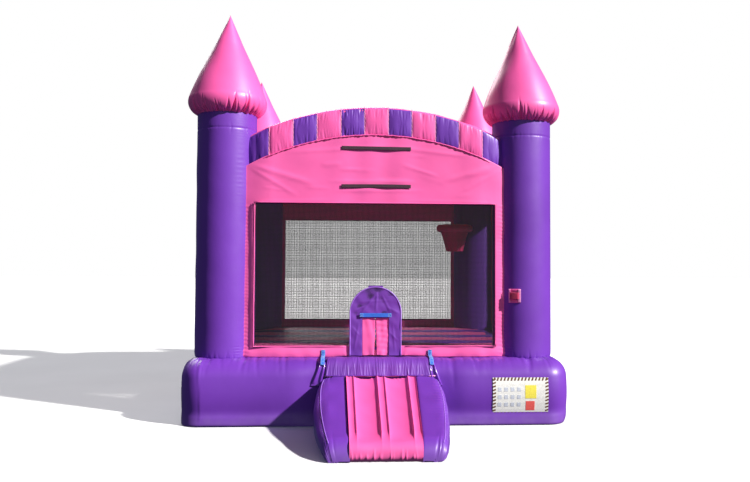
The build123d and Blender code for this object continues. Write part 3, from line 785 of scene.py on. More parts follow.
def bell(value: Points) -> Points:
    """A smooth hump: 1 at zero, fading to both sides."""
    return np.exp(-value ** 2)


def cells(a: Points, b: Points) -> list[Points]:
    """Both coordinates at every crossing of two rows of places."""
    return np.meshgrid(a, b, indexing="ij")


def circle(count: int) -> Points:
    """Directions evenly round a circle, in radians."""
    return np.linspace(0, math.tau, count, endpoint=False)


def along(section: Points) -> Points:
    """Distance run along a line of points."""
    return np.concatenate([[0], np.cumsum(np.linalg.norm(np.diff(section, axis=0), axis=1))])


# ---- base
@dataclass
class Base:
    """The air-filled base: its wrap-round skin, the jumping bed and the ground sheet."""

    top_round: float = 0.17
    foot_round: float = 0.10
    corner: float = 0.24
    front_bulge: float = 0.058
    rim: float = 0.40
    under_reach: float = 0.32
    sole_spread: float = 0.125
    sole_height: float = 0.20
    left_drawn_in: float = 0.022
    bed_crest: float = 0.036
    anchors: tuple[tuple[float, float], ...] = ((-1.945, -1.5), (-1.945, 1.5), (1.945, -1.5), (1.945, 1.5))
    anchor_height: float = 0.18
    calm_round_anchor: float = 0.16
    dense: tuple[int, int] = (230, 40)
    lobes: int = 9
    lobe_seam: float = 0.026

    def section(self, height: float) -> Points:
        """Section of the skin from the bed's edge out, down and under, as offsets and heights.

        Args:
            height: height of the base.

        Returns:
            The section's points.
        """
        top = np.stack([np.linspace(-self.rim, -self.top_round, 12, endpoint=False), np.full(12, height)], 1)
        top[:, 1] += 0.004 * np.sin(np.linspace(0, math.pi, 12))
        shoulder = arc((-self.top_round, height - self.top_round), self.top_round, 90, 0, 18)
        rise = np.linspace(height - self.top_round, self.foot_round, 30)[1:]
        side = np.stack([np.zeros(len(rise)), rise], 1)
        foot = arc((-self.foot_round, self.foot_round), self.foot_round, 0, -90, 12)[1:]
        under = np.stack([np.linspace(-self.foot_round, -self.under_reach, 6)[1:], np.zeros(5)], 1)
        return np.concatenate([top, shoulder, side, foot, under])

    def swell(self, x: Points, z: Points) -> Points:
        """How far the entrance side stands out at x and height z, less behind the ramp.

        Args:
            x: place across the house.
            z: height above the ground.

        Returns:
            The distance it stands out.
        """
        height = node_box("base_skin")[1][2]
        bow = self.front_bulge * np.sin(math.pi * unit((height - np.asarray(z)) / height))
        return bow * (1 - 0.95 * np.exp(-((np.asarray(x) - 0.04) / 0.74) ** 8))

    def slackness(self, points: Points, height: Points) -> Points:
        """How freely the skin may ripple: none where fittings are welded to it.

        Args:
            points: places in plan.
            height: their heights.

        Returns:
            A share from 0, tight, to 1, free.
        """
        free = np.ones(len(points))
        size = self.calm_round_anchor
        for x, y in self.anchors:
            gap = ((points[:, 0] - x) / size) ** 2 + ((points[:, 1] - y) / size) ** 2
            gap += ((height - self.anchor_height) / size) ** 2
            free *= 1 - bell(gap)
        at_zip = (points[:, 1] > 1.9) & (np.abs(points[:, 0] + 0.7) < 0.45) & (height < 0.45)
        at_tube = (points[:, 1] > 1.9) & (np.abs(points[:, 0] - 0.9) < 0.22) & (height < 0.38)
        free[at_zip | at_tube] = 0.0
        low, high = node_box("placard")
        sideways = np.maximum(low[0] - points[:, 0], points[:, 0] - high[0])
        beyond = np.maximum(sideways, height - high[2] - 0.02)
        at_placard = (points[:, 1] < -1.9) * unit(1 - beyond / 0.09)
        return free * (1 - at_placard)

    def skin(self) -> None:
        """The base's bulging skin with gathers under its upper edge."""
        high = node_box("base_skin")[1]
        height = high[2]
        section = self.section(height)
        side = outward(section)
        run = along(section)
        fold_run = np.abs(run - run[14])
        outline, _ = rounded_oblong((high[0], high[1]), self.corner, *self.dense)
        perimeter = along(np.concatenate([outline, outline[:1]]))
        share = perimeter[:-1]
        gather = Puckers(perimeter[-1], 230, 0.012, 0.011, 0.30, seed=4, closed=True)
        long_folds = Puckers(perimeter[-1], 52, 0.016, 0.026, 0.62, seed=12, closed=True)
        soft = Crumple(0.008, 0.75, seed=5)
        rows = []
        for (out, z), (nx, nz), distance, s in zip(section, side, fold_run, run):
            radius = max(self.corner + out, 0.012)
            points, normals = rounded_oblong((high[0] + out, high[1] + out), radius, *self.dense)
            level = np.full(len(points), z)
            front = unit(-normals[:, 1])
            swell = front * self.swell(points[:, 0], level)
            sole = front * self.sole_spread * max(0.0, 1 - z / self.sole_height) ** 3
            away = np.full(share.shape, distance)
            pull = gather(share, away) + long_folds(share, away)
            ripple = soft(share, np.full(share.shape, s)) * min(1.0, distance / 0.2)
            ripple = np.where(front > 0.3, ripple, -np.abs(ripple))
            shift = (ripple - pull) * self.slackness(points, level) + swell * abs(nx)
            shift -= self.left_drawn_in * unit(-normals[:, 0]) * (points[:, 1] < -1.70) * abs(nx)
            level = np.clip(level + shift * abs(nz), 0.0005, None)
            rows.append(np.column_stack([points + normals * (shift * abs(nx) + sole)[:, None], level]))
        piece = lattice("base_skin_inflated", np.stack(rows, 1), close_rows=True, flip=True)
        dress(piece, PURPLE_VINYL, replaces=["base_skin"])

    def bed(self) -> None:
        """The jumping bed: crowned channels that cross the house, pink and purple in turn."""
        low, high = node_box("jump_bed_pink")
        wide = (high[1] - low[1]) / self.lobes
        seam = high[2] - self.lobe_seam
        for first, (name, finish, slot) in enumerate(STRIPES):
            lobes = []
            for index in range(first, self.lobes, 2):
                u = np.linspace(low[0], high[0], 90)
                v = np.linspace(0, 1, 19)
                uu, vv = cells(u, v)
                crown = np.sin(math.pi * vv) ** 0.6
                gather = Puckers(high[0] - low[0], 46, 0.012, 0.018, 0.16, seed=30 + index)
                near = np.minimum(vv, 1 - vv) * wide
                z = seam + self.bed_crest * crown - gather(uu - low[0], near) * (near < 0.15)
                z += Crumple(0.006, 0.5, seed=50 + index)(uu, vv * wide)
                y = low[1] + (index + vv) * wide
                lobes.append(lattice(f"lobe_{name}_{index}", np.stack([uu, y, z], 2)))
            piece = joined(f"jump_bed_{name}_inflated", lobes)
            dress(piece, finish, replaces=[f"jump_bed_{name}"])

    def build(self) -> None:
        """Make every piece of the base."""
        self.skin()
        self.bed()
        for name in ("ground_sheet", "base_baffles"):
            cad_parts[name].data.materials.clear()
            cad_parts[name].data.materials.append(material(GREY_VINYL))


# ---- towers
@dataclass
class Tower:
    """One corner column and the spire on it."""

    corner: str
    lean: tuple[float, float]
    seed: int
    drop: float = 0.0
    around: int = 240
    spire_around: int = 640
    seam_drop: float = 0.15
    roll: float = 0.149
    roll_height: float = 0.142
    throat: float = 0.292
    tip_rise: float = 0.008
    tip_radius: float = 0.013
    deepest_pleat: float = 0.045

    def column(self) -> None:
        """The column's tube: a ring seam near its top, stretch lines beside the walls."""
        low, high = node_box(f"column_{self.corner}")
        centre, radius = (low + high) / 2, (high[0] - low[0]) / 2
        high[2] -= self.drop
        turn = circle(self.around)
        z = np.concatenate([np.linspace(low[2] - 0.030, low[2] + 0.12, 26)[:-1],
                            np.linspace(low[2] + 0.12, high[2] - 0.25, 130)[:-1],
                            np.linspace(high[2] - 0.25, high[2] + 0.01, 44)])
        tt, zz = cells(turn, z)
        arc_run = tt * radius
        ring = math.tau * radius
        swell = Crumple(0.0028, 0.5, seed=self.seed)(arc_run, zz) * np.sin(tt / 2) ** 2
        seam = high[2] - self.seam_drop
        dent = 0.0028 * bell((zz - seam) / 0.009)
        at_seam = Puckers(ring, 30, 0.003, 0.007, 0.09, self.seed + 1, closed=True)
        at_foot = Puckers(ring, 44, 0.009, 0.008, 0.11, self.seed + 2, closed=True)
        at_neck = Puckers(ring, 60, 0.005, 0.006, 0.06, self.seed + 3, closed=True)
        dent = dent + at_seam(arc_run, np.abs(zz - seam))
        foot = at_foot(arc_run, zz - low[2] + 0.012)
        neck = at_neck(arc_run, high[2] + 0.01 - zz)
        r = radius + swell - dent - foot - neck
        r -= 0.010 * np.exp(-(zz - low[2] + 0.012) / 0.014)
        for wall_turn in self.wall_turns():
            gap = (tt - wall_turn + math.pi) % (math.tau) - math.pi
            lines = np.abs(np.sin(zz * math.tau / 0.052 + 2.5 * np.sin(zz * 5.1 + self.seed)))
            patch = np.clip(0.35 + 0.65 * np.sin(zz * 3.7 + self.seed), 0.1, 1)
            r -= 0.0022 * (1 - lines) * patch * bell(gap / 0.16)
        points = turned(centre, r, tt, zz)
        piece = lattice(f"column_{self.corner}_inflated", points, close_rows=True)
        dress(piece, PURPLE_VINYL, replaces=[f"column_{self.corner}"])

    def wall_turns(self) -> list[float]:
        """Directions, round the column, of the two walls that meet it.

        Returns:
            The two directions in radians.
        """
        left, front = "left" in self.corner, "front" in self.corner
        across = math.radians(-55 if left else -125) if front else math.radians(55 if left else 125)
        inward = math.radians(145 if front else -145) if left else math.radians(35 if front else -35)
        return [across, inward]

    def spire(self) -> None:
        """The cone: straight flanks, a rolled bulge and a gathered foot."""
        low, high = node_box(f"spire_{self.corner}")
        centre, wide = (low + high) / 2, (high[0] - low[0]) / 2
        low[2] -= self.drop
        high[2] -= self.drop
        bulge_z = low[2] + self.roll_height
        roll = self.roll
        at = wide - roll
        apex = high[2] + self.tip_rise
        reach = math.hypot(at, apex - bulge_z)
        tilt = math.atan2(at, apex - bulge_z) + math.asin(roll / reach)
        touch = (at + roll * math.cos(tilt), bulge_z + roll * math.sin(tilt))
        foot_angle = -math.degrees(math.acos((self.throat - at) / roll))
        bulge = arc((at, bulge_z), roll, foot_angle, math.degrees(tilt), 46)
        t = np.linspace(0, 1, 52)[1:]
        flank = np.stack([touch[0] * (1 - t), touch[1] + (apex - touch[1]) * t], 1)
        flank[:, 0] += 0.016 * np.sin(math.pi * np.minimum(t * 1.6, 1.0)) * (1 - t)
        flank[:, 0] = np.maximum(flank[:, 0], self.tip_radius * np.sqrt(unit(1 - t) * 8).clip(0, 1))
        section = np.concatenate([[(0.300, low[2] - 0.012)], bulge, flank])
        run = along(section)
        turn = circle(self.spire_around)
        tt, ss = cells(turn, run)
        ring = math.tau * wide
        pleats = Puckers(ring, 44, 0.085, 0.012, 0.31, self.seed + 10, closed=True)
        fine = Puckers(ring, 96, 0.036, 0.0080, 0.25, self.seed + 11, closed=True)
        pull = pleats(tt * wide, ss) + fine(tt * wide, ss)
        pull = self.deepest_pleat * np.tanh(pull / self.deepest_pleat) * np.clip(ss / 0.06, 0.2, 1)
        swell = Crumple(0.006, 0.45, self.seed + 12)(tt * wide, ss) * np.sin(tt / 2) ** 2
        normals = outward(section)
        r = section[None, :, 0] + (pull - swell) * normals[None, :, 0]
        z = section[None, :, 1] + (pull - swell) * normals[None, :, 1]
        up = unit((z - low[2]) / (high[2] - low[2]))
        x = centre[0] + r * np.cos(tt) + self.lean[0] * up ** 1.4
        y = centre[1] + r * np.sin(tt) + self.lean[1] * up ** 1.4
        piece = lattice(f"spire_{self.corner}_inflated", np.stack([x, y, z], 2), close_rows=True)
        dress(piece, PINK_VINYL, replaces=[f"spire_{self.corner}"])

    def build(self) -> None:
        """Make the column and its spire."""
        self.column()
        self.spire()


# ---- walls
class Side(Enum):
    """The four walls, each with its quarter turns from the front."""

    FRONT = 0
    RIGHT = 1
    BACK = 2
    LEFT = 3


@dataclass
class Wall:
    """One wall: a striped beam over a window frame with its net."""

    side: Side
    face: float = 1.790
    half: float = 1.356
    depth: float = 0.30
    stripe: float = 0.243
    stripes_each_side: int = 5
    rim: float = 0.026
    puff: float = 0.020
    window_half: float = 1.224
    window: tuple[float, float] = (0.756, 2.200)
    mesh: float = 0.0125
    strand: float = 0.0016
    strand_share: ClassVar[dict[Side, float]] = {Side.FRONT: 0.7, Side.BACK: 1.25}
    beam_tuck: float = 0.085
    sheet_tuck: float = 0.034
    side_beam_height: float = 0.320
    arch_reach: float = 1.290
    sheet_foot: float = 0.641
    door_half: float = 0.136
    hem_outset: float = 0.006
    cover_corner: float = 0.042
    stripe_seam: float = 0.0042
    hem_cord: float = 0.0055
    hem_gap_half: float = 0.262
    net_lap: float = 0.015
    net_bow: float = 0.020
    doorway_half: float = 0.165
    doorway_top: float = 1.05
    name: str = field(init=False)

    def __post_init__(self) -> None:
        """Take the beam's heights from the frame."""
        self.name = self.side.name.lower()
        self.arched = self.side in (Side.FRONT, Side.BACK)
        self.cover_node = f"{self.name}_arch_sleeve" if self.arched else f"{self.name}_beam_sleeve"
        self.top = node_box(self.cover_node)[1][2]
        self.seed = 100 * (self.side.value + 1)

    def height(self, a: Points, upper: bool) -> Points:
        """Height of the beam's top or underside at a distance a from the middle.

        Args:
            a: distance from the wall's middle.
            upper: the top, not the underside.

        Returns:
            The heights.
        """
        if not self.arched:
            return np.full(np.shape(a), self.top if upper else self.top - self.side_beam_height)
        crown, end = (self.top - 0.016, self.top - 0.316) if upper else (self.top - 0.318, self.top - 0.637)
        rise = crown - end
        radius = (self.arch_reach ** 2 + rise ** 2) / (2 * rise)
        return crown - radius + np.sqrt(radius ** 2 - np.asarray(a) ** 2)

    def tuck(self, a: Points, reach: float) -> Points:
        """How far a skin is drawn inwards where it runs onto the columns."""
        return reach * unit((np.abs(a) - 1.06) / 0.26) ** 1.6

    def place(self, a: Points, d: Points, h: Points) -> Points:
        """Wall coordinates to the frame: a to the right, d inwards, h up.

        Args:
            a: distance to the right.
            d: distance inwards.
            h: height.

        Returns:
            The points in the frame.
        """
        x, y = np.broadcast_arrays(a, -self.face + d)
        for _ in range(self.side.value):
            x, y = -y, x
        return np.stack([x, y, np.broadcast_to(h, x.shape)], -1)

    def piece(self, name: str, a: Points, d: Points, h: Points, **how: object) -> Piece:
        """A surface given in wall coordinates."""
        return lattice(name, self.place(a, d, h), **how)

    def stripes(self) -> None:
        """The padded panels of the beam's face, and the pale seam between each two."""
        groups: dict[str, list[Piece]] = {"pink": [], "purple": []}
        seams = []
        count = self.stripes_each_side
        edges = [(index - 0.5) * self.stripe for index in range(-count, count + 2)]
        edges[0], edges[-1] = -self.half, self.half
        for index, (left, right) in enumerate(zip(edges[:-1], edges[1:])):
            colour = "pink" if (index - count) % 2 == 0 else "purple"
            u, v = np.linspace(0, 1, 34), np.linspace(0, 1, 40)
            uu, vv = cells(u, v)
            a = left + (right - left) * uu
            floor, ceiling = self.height(a, False), self.height(a, True) - self.rim
            h = floor + (ceiling - floor) * vv
            crown = (4 * uu * (1 - uu)) ** 0.35 * (4 * vv * (1 - vv)) ** 0.35
            near = np.minimum(vv, 1 - vv) * 0.3
            slack = 0.030 if self.side is Side.FRONT and index == count - 1 else 0.013
            pull = Puckers(right - left, 10, slack, 0.009, 0.21, self.seed + index)(a - left, near)
            soft = Crumple(0.005, 0.16, self.seed + 20 + index)(a, h * 0.4)
            d = 0.003 - self.puff * crown + (pull - soft) * crown + self.tuck(a, self.beam_tuck)
            groups[colour].append(self.piece(f"stripe_{index}", a, d, h))
            if index:
                line = np.linspace(0, 1, 24)
                at = np.full(24, left)
                rise = self.height(at, False) + (self.height(at, True) - self.height(at, False) - 0.01) * line
                wobble = 0.0016 * np.sin(line * 37 + index)
                inset = self.tuck(at, self.beam_tuck) - 0.002
                seams.append(tube(f"seam_{index}", self.place(at + wobble, inset, rise), self.stripe_seam, 6))
        a = np.linspace(-self.half, self.half, 260)
        ruffle = 0.0016 * np.sin(a * 61 + 4 * np.sin(a * 9)) + 0.001 * np.sin(a * 143 + 5 * np.sin(a * 4))
        line = self.place(a, self.tuck(a, self.beam_tuck) - 0.004 + ruffle, self.height(a, False) + ruffle)
        dress(tube(f"{self.name}_beam_lower_seam", line, SEAM_CORD, 7), PINK_VINYL)
        for colour, finish, slot in STRIPES:
            merged = joined(f"{self.name}_beam_{colour}_panels", groups[colour])
            node = f"{self.name}_arch_{colour}" if self.arched else f"side_beam_{colour}"
            dress(merged, finish, replaces=[node])
        dress(joined(f"{self.name}_beam_seams", seams), PALE_PINK_SEAM_AND_PAINTED_HIGHLIGHT)

    def sleeve(self) -> None:
        """The beam's pink cover: over the top, down the back and under, one closed skin."""
        a = np.linspace(-self.half, self.half, 150)
        corner = self.cover_corner
        front = arc((corner, -corner), corner, 200, 90, 10)
        top = np.stack([np.linspace(corner, self.depth - corner, 12)[1:-1], np.zeros(10)], 1)
        top[:, 1] = 0.004 * np.sin(np.linspace(0.2, math.pi - 0.2, 10))
        back = arc((self.depth - corner, -corner), corner, 90, 0, 8)
        upper = np.concatenate([front, top, back])
        lower = np.concatenate([arc((self.depth - corner, corner), corner, 0, -90, 8),
                                np.stack([np.linspace(self.depth - corner, corner, 10)[1:-1], np.zeros(8)],
                                         1),
                                arc((corner, corner), corner, -90, -175, 8)])
        sweep = np.linspace(0, 1, 14)[1:-1]
        bow = 0.016 * np.sin(math.pi * sweep)
        gather = Puckers(2 * self.half, 90, 0.006, 0.010, 0.13, self.seed + 60)
        rows = []
        for x in a:
            floor, ceiling = (float(self.height(np.array(x), upper)) for upper in (False, True))
            fall = ceiling - corner + (floor - ceiling + 2 * corner) * sweep
            middle = np.stack([self.depth + bow, fall], 1)
            rows.append(np.concatenate([upper + [0, ceiling], middle, lower + [0, floor]]))
        loop = np.stack(rows)
        run = along(loop[0])
        pull = gather(np.repeat((a + self.half)[:, None], len(run), 1), np.minimum(run, run[-1] - run)[None])
        soft = Crumple(0.004, 0.3, self.seed + 61)(a[:, None], run[None])
        loop[:, :, 1] += (soft - pull) * (loop[:, :, 1] > self.height(a, False)[:, None] + 0.2)
        nearness = unit(1 - loop[:, :, 0] / self.depth)
        inset = loop[:, :, 0] + self.tuck(a, self.beam_tuck)[:, None] * nearness
        points = self.place(np.repeat(a[:, None], len(run), 1), inset, loop[:, :, 1] - 0.008)
        merged = lattice(f"{self.name}_beam_cover", points, close_columns=True)
        dress(merged, PINK_VINYL, replaces=[self.cover_node])

    def creases(self) -> Folds:
        """The long creases of this wall's sheet.

        Returns:
            The creases, in wall coordinates.
        """
        draw = np.random.default_rng(self.seed + 5)
        lines = [(-1.29, 2.60, -0.62, 2.40, 0.006, 0.030), (-1.29, 2.57, -0.80, 2.28, 0.004, 0.022),
                 (1.28, 2.60, 0.66, 2.42, 0.006, 0.030), (1.28, 2.55, 0.84, 2.30, 0.004, 0.022),
                 (-0.9, 2.72, 0.2, 2.80, 0.004, 0.020), (0.15, 2.79, 0.95, 2.70, 0.004, 0.020),
                 (-0.50, 2.43, 0.42, 2.425, 0.004, 0.016), (-0.42, 2.33, 0.50, 2.338, 0.004, 0.016),
                 (-1.22, 2.22, -0.4, 2.235, 0.003, 0.014), (0.3, 2.235, 1.2, 2.22, 0.003, 0.014)]
        for _ in range(14):
            a, h = draw.uniform(-1.2, 1.2), draw.uniform(2.25, 2.7)
            reach, turn = draw.uniform(0.15, 0.5), draw.normal(0, 0.35)
            lines.append((a, h, a + reach * math.cos(turn), h + reach * math.sin(turn),
                          draw.uniform(0.001, 0.0035), draw.uniform(0.010, 0.026)))
        return Folds(lines)

    def frame_sheet(self) -> None:
        """The pink sheet round the window, up to the beam's underside."""
        low, high = self.window
        xs = np.concatenate([np.linspace(-self.half, -self.window_half, 16)[:-1],
                             np.linspace(-self.window_half, -self.door_half, 84)[:-1],
                             np.linspace(-self.door_half, self.door_half, 22)[:-1],
                             np.linspace(self.door_half, self.window_half, 84)[:-1],
                             np.linspace(self.window_half, self.half, 16)])
        foot = self.sheet_foot
        bands = [np.linspace(foot, low, 14)[:-1], np.linspace(low, high, 130)[:-1]]
        flat = np.concatenate(bands)
        rise = np.linspace(0, 1, 50)
        top = self.height(xs, False)[:, None] + 0.012
        h = np.concatenate([np.repeat(flat[None], len(xs), 0), high + (top - high) * rise[None]], 1)
        a = np.repeat(xs[:, None], h.shape[1], 1)
        d = 0.003 - 0.85 * self.creases()(a, h) - Crumple(0.0035, 0.40, self.seed + 7)(a, h)
        d = d + self.tuck(a, self.sheet_tuck)
        strip = unit((np.abs(a) - self.window_half) / 0.13) * (h < high)
        ribs = np.abs(np.sin(h * math.tau / 0.075 + 1.7 * np.sin(h * 4.3) + a * 9))
        d = d - 0.006 * strip * (1 - ribs)
        lower = unit((low - h) / 0.114)
        if self.side is Side.FRONT:
            behind = unit((np.abs(a) - 0.27) / 0.05)
            lower = lower * behind
            d = np.where((np.abs(a) < 0.30) & (h < 1.36), np.maximum(d, 0.003), d)
            gap = 0.017 * unit(1 - ((a - 0.08) / 0.50) ** 2) ** 0.5
            h = h + gap * unit((low - h) / 0.114)
        else:
            h = h - 0.022 * lower
        d = d - 0.006 * lower * Crumple(1.0, 0.21, self.seed + 9)(a, h)
        d = d - 0.012 * lower * np.sin(math.pi * lower)
        keep = np.ones((len(xs) - 1, h.shape[1] - 1), bool)
        middle_a, middle_h = (a[:-1, :-1] + a[1:, 1:]) / 2, (h[:-1, :-1] + h[1:, 1:]) / 2
        keep[(np.abs(middle_a) < self.window_half) & (middle_h > low) & (middle_h < high)] = False
        if self.side is Side.FRONT:
            keep[(np.abs(middle_a) < self.door_half) & (middle_h < low)] = False
        sheet = thicken(self.piece(f"{self.name}_wall_sheet", a, d, h, keep=keep), WALL_VINYL)
        dress(sheet, PINK_SHEET, replaces=[f"{self.name}_fascia"])
        tall = float(self.height(np.array(0.0), False)) - foot
        window_area = 2 * self.window_half * (high - low)
        net_area = 2 * self.half * (float(np.mean(self.height(xs, False))) - foot) - window_area
        self.hem()

    def hem(self) -> None:
        """The folded hem round the window, a low rounded border."""
        low, high = self.window
        w, bottom, top = self.window_half + self.hem_outset, low - self.hem_outset, high + self.hem_outset
        corners = [(-w, bottom), (w, bottom), (w, top), (-w, top)]
        path = []
        for (a0, h0), (a1, h1) in zip(corners, corners[1:] + corners[:1]):
            t = np.linspace(0, 1, 40, endpoint=False)
            path.append(np.stack([a0 + (a1 - a0) * t, h0 + (h1 - h0) * t], 1))
        line = np.concatenate(path)
        if self.side is Side.FRONT:
            start = next(k for k, (a, h) in enumerate(line) if h < low and a > 0.265)
            line = np.roll(line, -start, 0)
            line = line[~((np.abs(line[:, 0]) < self.hem_gap_half) & (line[:, 1] < low))]
        points = self.place(line[:, 0], np.full(len(line), -0.001), line[:, 1])
        hem = tube(f"{self.name}_window_hem", points, self.hem_cord, closed=self.side is not Side.FRONT)
        dress(hem, PINK_SHEET)

    def net(self) -> None:
        """The wall's net: upright and level cords that cross, bowed a little outwards."""
        low, high = self.window[0] - self.net_lap, self.window[1] + self.net_lap
        wide = self.window_half + self.net_lap
        ups = np.arange(-wide, wide, self.mesh)
        levels = np.arange(low, high, self.mesh)
        steps = 9
        thickness = self.strand_share.get(self.side, 1.0) * self.strand
        profile = np.array([(-1, -1), (1, -1), (1, 1), (-1, 1)]) * thickness

        def cord(a: Points, h: Points, upright: bool) -> tuple[Points, NDArray[np.int64]]:
            """One square cord along a line of wall points.

            Args:
                a: places across.
                h: heights.
                upright: the cord stands, not lies.

            Returns:
                Its points and its faces.
            """
            bow = self.net_bow * (np.cos(np.clip(a / wide, -1, 1) * math.pi / 2)
                           * np.sin(unit((h - low) / (high - low)) * math.pi))
            offset = 0.0058 - bow + (0.0006 if upright else -0.0006)
            rows = [self.place(a + p * upright, offset + q, h + p * (not upright)) for p, q in profile]
            return np.stack(rows, 1), grid_faces(len(a), 4, False, True)

        points, faces, start = [], [], 0
        doorway = self.doorway_half if self.side is Side.FRONT else 0.0
        for a in ups:
            bottom = self.doorway_top if abs(a) < doorway else low
            h = np.linspace(bottom, high, steps)
            block, quads = cord(np.full(steps, a), h, True)
            points.append(block.reshape(-1, 3))
            faces.append(quads + start)
            start += 4 * steps
        for h in levels:
            cut = doorway and h < self.doorway_top
            spans = [(-wide, -doorway), (doorway, wide)] if cut else [(-wide, wide)]
            for left, right in spans:
                a = np.linspace(left, right, steps)
                block, quads = cord(a, np.full(steps, h), False)
                points.append(block.reshape(-1, 3))
                faces.append(quads + start)
                start += 4 * steps
        piece = solid(f"{self.name}_net", np.concatenate(points), np.concatenate(faces))
        dress(piece, NET_CORD, replaces=[f"{self.name}_netting"])

    def build(self) -> None:
        """Make every piece of the wall."""
        self.stripes()
        self.sleeve()
        self.frame_sheet()
        self.net()


@dataclass
class Roof:
    """The roof sheet, vaulted between the front and back beams."""

    drop: float = 0.05
    sag: float = 0.020

    def build(self, wall: Wall) -> None:
        """Make the roof under the arch line of a wall.

        Args:
            wall: the wall whose beam the sheet follows.
        """
        low, high = node_box("roof_cover")
        x = np.linspace(low[0] - 0.01, high[0] + 0.01, 110)
        y = np.linspace(low[1] - 0.01, high[1] + 0.01, 110)
        xx, yy = cells(x, y)
        z = wall.height(xx, True) - self.drop
        sag = np.cos(yy / high[1] * math.pi / 2) * self.sag
        ridge = Puckers(3.0, 34, 0.010, 0.016, 0.5, 77)(xx + 1.5, np.minimum(yy - low[1], high[1] - yy))
        z = z - sag - ridge * 0.8 + Crumple(0.008, 0.6, 78)(xx, yy)
        piece = thicken(lattice("roof_sheet", np.stack([xx, yy, z], 2)), WALL_VINYL)
        dress(piece, PINK_SHEET, replaces=["roof_cover"])


